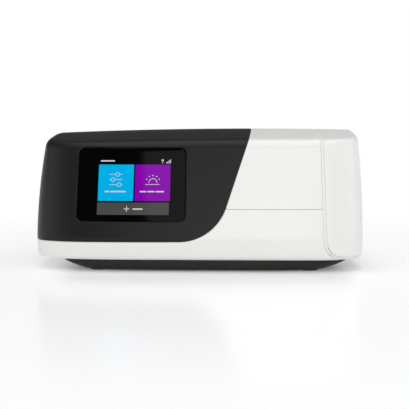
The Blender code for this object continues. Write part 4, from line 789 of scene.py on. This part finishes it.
button_grey = moulded("button_grey", (0.50, 0.51, 0.50), 0.28, tone=0.05, relief=0.03)
ring_green = moulded("ring_green", (0.35, 0.62, 0.45), 0.22, tone=0.08, relief=0.02,
                     Transmission_Weight=0.35)
cover("start_button_cap", button_region, button_grey, "button_plastic", "start_button",
      "start_button", soft=0.0006)
profile = [(0, STEM_END), (STEM_RADIUS, STEM_END), (STEM_RADIUS, STEM_START), (0, STEM_START)]
stem = carried("start_button_stem", softened(profile, 0.0003), (BUTTON_X, BUTTON_Y, BUTTON_Z),
               BUTTON_AXIS)
dress(stem, button_grey, "start_button", ["start_button"])
cover("start_light_guide", ring_region, ring_green, "light_guide", "start_light_ring", wall=SKIRT,
      soft=0.0003)

# The base tray: a black boat-shaped moulding under the housing, held by four screws from below,
# with round rubber feet set in its corners.
BASE_LIFT, BASE_LEFT, BASE_RIGHT, BASE_FRONT, BASE_BACK = 0.0010, 0.090, 0.099, 0.051, 0.048
BASE_FLARE_END, BASE_FLARE_SIDE, BASE_POWER, BASE_WALL = 0.0150, 0.0020, 5.0, 0.0020
FOOT_RADIUS, SCREW_HEAD_RADIUS, FLOOR_BAND = 0.0065, 0.0030, 0.0005
FEET = [(x, y) for x in (-0.0745, 0.0835) for y in (-0.0465, 0.0275)]
SCREWS = [(x, y) for x in (-0.0625, 0.0715) for y in (-0.040, 0.028)]
TRAY_LEVELS = np.concatenate([np.linspace(0, 1, 33)[:-1], np.linspace(1, 2, 15)])


def tray(turn, level, inset):
    """The tray's form. Level 0 to 1 is its flat floor from the middle outwards, and 1 to 2 its
    side, whose reach grows by a sine wave of the height; the plan is |u|^5 + |v|^5 = 1."""
    along, across = np.cos(turn), np.sin(turn)
    norm = (np.abs(along) ** BASE_POWER + np.abs(across) ** BASE_POWER) ** (1 / BASE_POWER)
    rise = np.clip(level - 1, 0, 1)
    top, bottom = BELLY - GAP, BASE_LIFT
    share = np.sin(np.pi / 2 * rise * (top - bottom) / (BELLY - BASE_LIFT))
    half = np.where(along < 0, BASE_LEFT, BASE_RIGHT) + BASE_FLARE_END * share - inset
    reach = np.where(across < 0, BASE_FRONT, BASE_BACK) + BASE_FLARE_SIDE * share - inset
    spread = np.clip(level, 0, 1)
    height = bottom + inset + (top - bottom - inset) * rise
    return np.stack([along / norm * half * spread,
                     PLAN_CENTRE_Y + across / norm * reach * spread, height], -1)


def tray_region(x, y, z):
    """Outside every foot's and screw's circle, on the tray's floor only."""
    holes = [np.hypot(x - a, y - b) - radius - GAP
             for places, radius in ((FEET, FOOT_RADIUS), (SCREWS, SCREW_HEAD_RADIUS))
             for a, b in places]
    return np.where(z > BASE_LIFT + FLOOR_BAND, WIDTH, np.minimum.reduce(holes))


base_black = moulded("base_black", (0.016, 0.0155, 0.014), 0.50, tone=0.08, relief=0.16,
                     grain_scale=1600.0, Specular_IOR_Level=0.25)
dress(cut_wall("base_tray_moulding", tray, TRAY_LEVELS, tray_region, BASE_WALL), base_black,
      stands_for=["base_tray"])

foot_rubber = moulded("foot_rubber", (0.022, 0.022, 0.022), 0.80, tone=0.15, relief=0.25,
                      grain_scale=1200.0)
profile = [(0, 0.0002), (0.0040, 0.0002), (0.0042, 0.0), (0.0062, 0.0), (FOOT_RADIUS, 0.0003),
           (FOOT_RADIUS, 0.0015), (0, 0.0015)]
for number, (x, y) in enumerate(FEET, 1):
    foot = carried(f"rubber_pad_{number}", softened(profile, 0.0002), (x, y, 0), (0, 0, 1))
    dress(foot, foot_rubber, stands_for=[f"rubber_foot_{number}"])


THREAD, PITCH, THREAD_START, THREAD_END = 0.00022, 0.0008, 0.0038, 0.0116


def screw_thread(turn, height):
    """Adds a ridge that climbs the shank once per pitch: a cosine of the turn less the height."""
    ridge = THREAD * np.cos(turn - 2 * np.pi * height / PITCH)
    return ridge * (height > THREAD_START) * (height < THREAD_END)


bright_steel = moulded("bright_steel", (0.62, 0.62, 0.61), 0.26, tone=0.08, polish=0.12, relief=0.04,
                       grain_scale=900.0, Metallic=1.0)
head = [(0, 0.0021), (0.0011, 0.0021), (0.0013, 0.0010), (0.0026, 0.0010), (0.0030, 0.0014),
        (0.0030, 0.0030), (0.0013, 0.0030)]
shank = [(0.0013, z) for z in np.linspace(0.0034, 0.0119, 80)]
for number, (x, y) in enumerate(SCREWS, 1):
    screw = carried(f"tray_screw_{number}", head + shank + [(0, 0.0120)], (x, y, 0), (0, 0, 1), 36,
                    screw_thread)
    dress(screw, bright_steel, stands_for=[f"case_screw_{number}"])

# The rear panel and its two doors: the filter cover, hinged at its foot, and the small cover of
# the memory card, hinged at its side. All are moulded in white and grey ABS.
DOOR_GAP = 0.0006
FILTER_DOOR, FILTER_CORNER = (-0.086, -0.042, 0.034, 0.082), 0.0040
CARD_DOOR, CARD_CORNER = (-0.040, -0.012, 0.070, 0.080), 0.0020
OUTLET_X, PORT_Z, OUTLET_RADIUS = 0.0060, 0.0660, 0.0110
SOCKET_X, SOCKET_Z, SOCKET_RADIUS = -0.0240, 0.0340, 0.0045


def at_back(depth, y):
    """The depth behind the rear panel's seam, and far outside ahead of it."""
    return np.where(y > SPLIT_Y, depth, -WIDTH)


def rear_region(x, y, z):
    """Behind the seam, less the two doors' windows, the outlet's hole and the power inlet's."""
    doors = [-at_back(window_depth(x, z, left - DOOR_GAP, right + DOOR_GAP, bottom - DOOR_GAP,
                                   top + DOOR_GAP, corner + DOOR_GAP), y)
             for (left, right, bottom, top), corner in ((FILTER_DOOR, FILTER_CORNER),
                                                        (CARD_DOOR, CARD_CORNER))]
    spigot = np.hypot(x - OUTLET_X, z - PORT_Z) - OUTLET_RADIUS - 2 * GAP
    socket = np.hypot(x - SOCKET_X, z - SOCKET_Z) - SOCKET_RADIUS - GAP
    return np.minimum.reduce([y - SPLIT_Y - GAP, beside_cap(x, z), spigot, socket, *doors])


VENTS, VENT_HEIGHT, VENT_MARGIN, VENT_CORNER = 6, 0.0018, 0.0060, 0.0003


def filter_door_region(x, y, z):
    """Inside the door's outline, less six level slots that let the air in."""
    left, right, bottom, top = FILTER_DOOR
    pitch = (top - bottom) / (VENTS + 1)
    nearest = bottom + pitch * np.clip(np.round((z - bottom) / pitch), 1, VENTS)
    slot = window_depth(x, z - nearest, left + VENT_MARGIN, right - VENT_MARGIN,
                        -VENT_HEIGHT / 2, VENT_HEIGHT / 2, VENT_CORNER)
    return at_back(np.minimum(window_depth(x, z, *FILTER_DOOR, FILTER_CORNER), -slot), y)


def card_door_region(x, y, z):
    """Inside the small door's outline."""
    return at_back(window_depth(x, z, *CARD_DOOR, CARD_CORNER), y)


cover("rear_panel_moulding", rear_region, white_satin, "white_shell", "rear_panel")
grey_satin = moulded("grey_satin", (0.62, 0.63, 0.62), 0.38, tone=0.03, relief=0.08)
cover("filter_door", filter_door_region, grey_satin, "grey_shell", "filter_cover", "filter_door")
cover("card_door", card_door_region, grey_satin, "grey_shell", "card_cover", "card_door")

# The air outlet: a standard 22 mm spigot with a rounded lip and a flange behind the panel.
OUTLET_BORE, FLANGE, SEAT = 0.0094, 0.0150, 0.0500
SPIGOT_START, SPIGOT_END = 0.0372, DEPTH / 2
GROOVE = OUTLET_RADIUS - 0.0003
spigot = [(OUTLET_BORE, SPIGOT_START), (OUTLET_RADIUS, SPIGOT_START), (OUTLET_RADIUS, SEAT - 0.002),
          (FLANGE, SEAT - 0.002), (FLANGE, SEAT), (OUTLET_RADIUS, SEAT), (OUTLET_RADIUS, 0.0600),
          (GROOVE, 0.0603), (GROOVE, 0.0612), (OUTLET_RADIUS, 0.0615), (OUTLET_RADIUS, SPIGOT_END),
          (OUTLET_BORE, SPIGOT_END)]
dress(carried("outlet_spigot", softened(spigot, 0.0005), (OUTLET_X, 0, PORT_Z), (0, 1, 0), 96),
      grey_satin, stands_for=["air_outlet"])

# The filter: a pleated pad of white felt that stands in its frame behind the filter door.


def soft_block(name, low, high, power, ripple, columns, rows):
    """A block with soft edges: the direction at each turn and tilt over its power-norm, times
    the half sizes, plus a ripple of the place."""
    turn = 2 * np.pi * np.arange(columns) / columns
    tilt = np.linspace(-np.pi / 2, np.pi / 2, rows)
    aim = np.stack([np.outer(np.cos(tilt), np.cos(turn)), np.outer(np.cos(tilt), np.sin(turn)),
                    np.outer(np.sin(tilt), np.ones(columns))], -1)
    norm = (np.abs(aim) ** power).sum(-1, keepdims=True) ** (1 / power)
    low, high = np.array(low), np.array(high)
    points = (low + high) / 2 + aim / norm * (high - low) / 2
    points = points + ripple(points, aim / norm)
    index, after = ring_grid(rows, columns)
    quads = np.stack([index[:-1], after[:-1], after[1:], index[1:]], -1)
    return put_quads(name, points, close_hub(close_hub(quads, 0, columns), rows - 1, columns))


PLEAT, PLEAT_DEPTH, PAD_GAP = 0.003, 0.00035, 0.0004


def pleats(points, share):
    """Moves the front and back of the pad by a sine wave across its width."""
    wave = PLEAT_DEPTH * np.sin(2 * np.pi * points[..., 0] / PLEAT)
    return np.stack([0 * wave, wave * np.clip(np.abs(share[..., 1]) * 4 - 3, 0, 1), 0 * wave], -1)


low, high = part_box("air_filter")
felt = moulded("filter_felt", (0.80, 0.82, 0.83), 0.95, tone=0.25, polish=0.02, relief=0.9,
               grain_scale=1900.0, Specular_IOR_Level=0.1, Sheen_Weight=0.4)
pad = soft_block("filter_pad", np.add(low, PAD_GAP), np.subtract(high, PAD_GAP), 12, pleats, 360,
                 160)
dress(pad, felt, stands_for=["air_filter"])

# The memory card: a 24 x 32 mm card with one cut corner and a bare label, in a metal socket.
card_low, card_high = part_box("memory_card")
LABEL_MIDDLE, LABEL_HALF = (-0.026, 0.036), (0.0095, 0.0090)
card_blue = moulded("card_blue", (0.035, 0.075, 0.22), 0.38, tone=0.05, relief=0.08)
tree = card_blue.node_tree
_, parts = object_place(tree)
beside, along = [reckon(tree, "COMPARE", parts[way], middle, half)
                 for way, middle, half in zip("XY", LABEL_MIDDLE, LABEL_HALF)]
lay_colour(card_blue, reckon(tree, "MULTIPLY", beside, along), (0.62, 0.63, 0.64))


def slab(name, outline, low, high, soft):
    """A flat piece from an outline: rings that round its lower and upper edge by a quarter
    circle, each drawn towards the middle by its share, and a middle point below and above."""
    t = np.linspace(0, np.pi / 2, 5)
    middle = outline.mean(0)
    reach = np.linalg.norm(outline - middle, axis=1, keepdims=True)
    draw = np.concatenate([soft * (1 - np.sin(t)), soft * (1 - np.sin(t[::-1]))])
    height = np.concatenate([low + soft * (1 - np.cos(t)), high - soft * (1 - np.cos(t[::-1]))])
    rings = [middle + (outline - middle) * (1 - d / reach) for d in draw]
    flat = np.stack([np.column_stack([ring, np.full(len(ring), h)]) for ring, h in zip(rings, height)])
    count, size = flat.shape[:2]
    index, after = ring_grid(count, size)
    quads = np.stack([index[:-1], after[:-1], after[1:], index[1:]], -1).reshape(-1, 4).tolist()
    foot, crest = count * size, count * size + 1
    caps = np.stack([after[0], index[0], np.full(size, foot)], 1).tolist()
    caps += np.stack([index[-1], after[-1], np.full(size, crest)], 1).tolist()
    points = np.vstack([flat.reshape(-1, 3), [[*middle, low], [*middle, high]]])
    return put_mesh(name, points, quads + caps)


CUT_CORNER = 0.003
(x0, y0, z0), (x1, y1, z1) = card_low, card_high
loop = np.array([(x0, y0 + CUT_CORNER), (x0 + CUT_CORNER, y0), (x1, y0), (x1, y1), (x0, y1)])
steps = np.linspace(0, 1, 12, endpoint=False)[:, None]
loop = np.concatenate([a + (b - a) * steps for a, b in zip(loop, np.roll(loop, -1, axis=0))])
dress(slab("data_card", loop, z0, z1, 0.0004), card_blue, "data_card", ["memory_card"])

# The water tub: two clear mouldings with a blue seal between them, and a metal plate in the
# floor that sits on the bay's heater. The end cap is bonded to the lower one.
PORT_BORE, PORT_YS, TUB_WALL = 0.0085, (-0.0220, 0.0200), 0.0020
CUP_POWER, CUP_FILLET, TUB_FLOOR, LID_SIDE = 9, 0.004, 0.001, 0.004


def cup(low, high, hung=False):
    """A cup's form: |u|^9 + |v|^9 = 1 in plan. Level 0 to 1 is the floor from its middle
    outwards, 1 to 2 a quarter circle into the wall, and 2 to 3 the wall up to the rim; a hung
    cup is the same turned half round about X."""
    middle, half = (np.array(low) + high) / 2, (np.array(high) - low) / 2

    def form(turn, level, inset):
        along, across = np.cos(turn), np.sin(turn) * (-1 if hung else 1)
        norm = (np.abs(along) ** CUP_POWER + np.abs(across) ** CUP_POWER) ** (1 / CUP_POWER)
        t = np.pi / 2 * np.clip(level - 1, 0, 1)
        draw = inset + CUP_FILLET * (1 - np.sin(t))
        rise = inset + CUP_FILLET * (1 - np.cos(t))
        rise = rise + (2 * half[2] - inset - CUP_FILLET) * np.clip(level - 2, 0, 1)
        spread = np.clip(level, 0, 1)
        return np.stack([middle[0] + along / norm * (half[0] - draw) * spread,
                         middle[1] + across / norm * (half[1] - draw) * spread,
                         high[2] - rise if hung else low[2] + rise], -1)

    return form


TUB_LEVELS = np.concatenate([np.linspace(0, 1, 31)[:-1], np.linspace(1, 2, 9)[:-1],
                             np.linspace(2, 3, 17)])
base_low, base_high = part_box("tub_base")
lid_low, lid_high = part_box("tub_lid")
plate_low, plate_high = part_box("tub_plate")


def tub_base_region(x, y, z):
    """Outside the metal plate's outline, on the tub's floor only."""
    hole = -window_depth(x, y, plate_low[0] - GAP, plate_high[0] + GAP, plate_low[1] - GAP,
                         plate_high[1] + GAP, 0.0005)
    return np.where(z < base_low[2] + TUB_FLOOR, hole, WIDTH)


def tub_lid_region(x, y, z):
    """Outside the two ports' circles, on the lid's left wall only."""
    holes = np.minimum.reduce([np.hypot(y - port, z - PORT_Z) - PORT_BORE for port in PORT_YS])
    return np.where(x < lid_low[0] + LID_SIDE, holes, WIDTH)


clear = moulded("clear_tub", (0.90, 0.95, 0.97), 0.05, tone=0.01, polish=0.03, relief=0.01,
                grain_scale=500.0, Transmission_Weight=0.92, IOR=1.49)
for name, form, region, node in (
        ("tub_lower", cup(base_low, base_high), tub_base_region, "tub_base"),
        ("tub_upper", cup(lid_low, lid_high, hung=True), tub_lid_region, "tub_lid")):
    dress(cut_wall(name, form, TUB_LEVELS, region, TUB_WALL, columns=200), clear, "water_tub",
          [node])
seal_blue = moulded("seal_blue", (0.16, 0.34, 0.52), 0.60, tone=0.06, relief=0.10)
repaint(seal_blue, "tub_seal")
silver = moulded("anodised_silver", (0.66, 0.67, 0.68), 0.34, tone=0.06, polish=0.10, relief=0.05,
                 grain_scale=700.0, Metallic=1.0)
repaint(silver, "tub_plate", "heater_plate")

# The inside keeps the frame's own shapes: the grey mouldings of the bay, the floor and the
# blower, steel, copper and silicone, each with the finish of its real material.
inner_grey = moulded("inner_grey", (0.20, 0.21, 0.22), 0.55, tone=0.10, relief=0.12)
repaint(inner_grey, "chassis", "blower_lower", "blower_upper", "filter_frame", "tub_bay")
repaint(base_black, "power_socket")
repaint(bright_steel, "motor_shaft", "motor_rotor", "motor_bearing_lower", "motor_bearing_upper")
stamped = moulded("stamped_sheet", (0.55, 0.56, 0.57), 0.36, tone=0.05, polish=0.15, relief=0.06,
                  grain_scale=420.0, Metallic=0.95)
repaint(stamped, "screen_bracket", "card_socket")
repaint(moulded("plated_pin", (0.78, 0.62, 0.28), 0.22, relief=0.02, Metallic=1.0), "socket_pin")
repaint(moulded("impeller_white", (0.74, 0.75, 0.75), 0.42, relief=0.05), "impeller")
repaint(moulded("mount_blue", (0.07, 0.10, 0.22), 0.75, tone=0.15, relief=0.25), *[
    f"blower_mount_{number}" for number in (1, 2, 3)])
silicone = moulded("silicone_grey", (0.36, 0.39, 0.41), 0.62, tone=0.08, relief=0.12)
repaint(silicone, "blower_duct", "outlet_elbow", "inlet_seal", "outlet_seal")
repaint(moulded("sensor_ivory", (0.70, 0.69, 0.62), 0.50, relief=0.06), "flow_sensor")
repaint(moulded("display_back", (0.09, 0.10, 0.11), 0.30, relief=0.03), "lcd_module")
repaint(moulded("foam_charcoal", (0.035, 0.035, 0.040), 0.98, tone=0.6, relief=1.0,
                grain_scale=900.0, Specular_IOR_Level=0.05), "muffler_foam")


def banded(material, direction, scale, other, share=0.5):
    """Lay stripes of another colour into a finish: a saw wave along one direction."""
    tree = material.node_tree
    where, _ = object_place(tree)
    stripes = place_node(tree, "ShaderNodeTexWave", {"Vector": where, "Scale": scale,
                                                     "Distortion": 0.4}, bands_direction=direction)
    ramp = place_node(tree, "ShaderNodeMapRange", {"Value": stripes.outputs[1], "From Min": share,
                                                   "From Max": min(share + 0.2, 1.0)})
    lay_colour(material, ramp.outputs[0], other)
    return material


copper = moulded("copper_winding", (0.55, 0.24, 0.09), 0.32, relief=0.05, Metallic=0.9)
repaint(banded(copper, "Z", 420.0, (0.20, 0.08, 0.03)), "motor_stator")
film_amber = moulded("ribbon_amber", (0.60, 0.28, 0.05), 0.35, relief=0.02)
repaint(banded(film_amber, "X", 330.0, (0.28, 0.11, 0.02)), "display_ribbon")

# The boards: green and blue solder mask with fine tracks; what stands on them is black plastic,
# and the tall cans are aluminium, told apart by their height over the board.
BOARD_TOP = 0.0172


def board_finish(name, colour, track, floor=None):
    """Solder mask with tracks, and above a floor height the black and the silver of its parts."""
    made = banded(moulded(name, colour, 0.35, tone=0.10, relief=0.03), "DIAGONAL", 260.0, track, 0.72)
    if floor is not None:
        tree = made.node_tree
        _, parts = object_place(tree)
        for rise, other in ((0.0002, (0.012, 0.012, 0.013)), (0.0062, (0.60, 0.61, 0.62))):
            lay_colour(made, reckon(tree, "GREATER_THAN", parts["Z"], floor + rise), other)
    return made


repaint(board_finish("board_green", (0.012, 0.10, 0.045), (0.03, 0.20, 0.09), BOARD_TOP), "main_board")
repaint(board_finish("button_board_green", (0.012, 0.10, 0.045), (0.03, 0.20, 0.09)), "button_board")
repaint(board_finish("board_blue", (0.010, 0.05, 0.13), (0.03, 0.12, 0.26)), "modem_board")
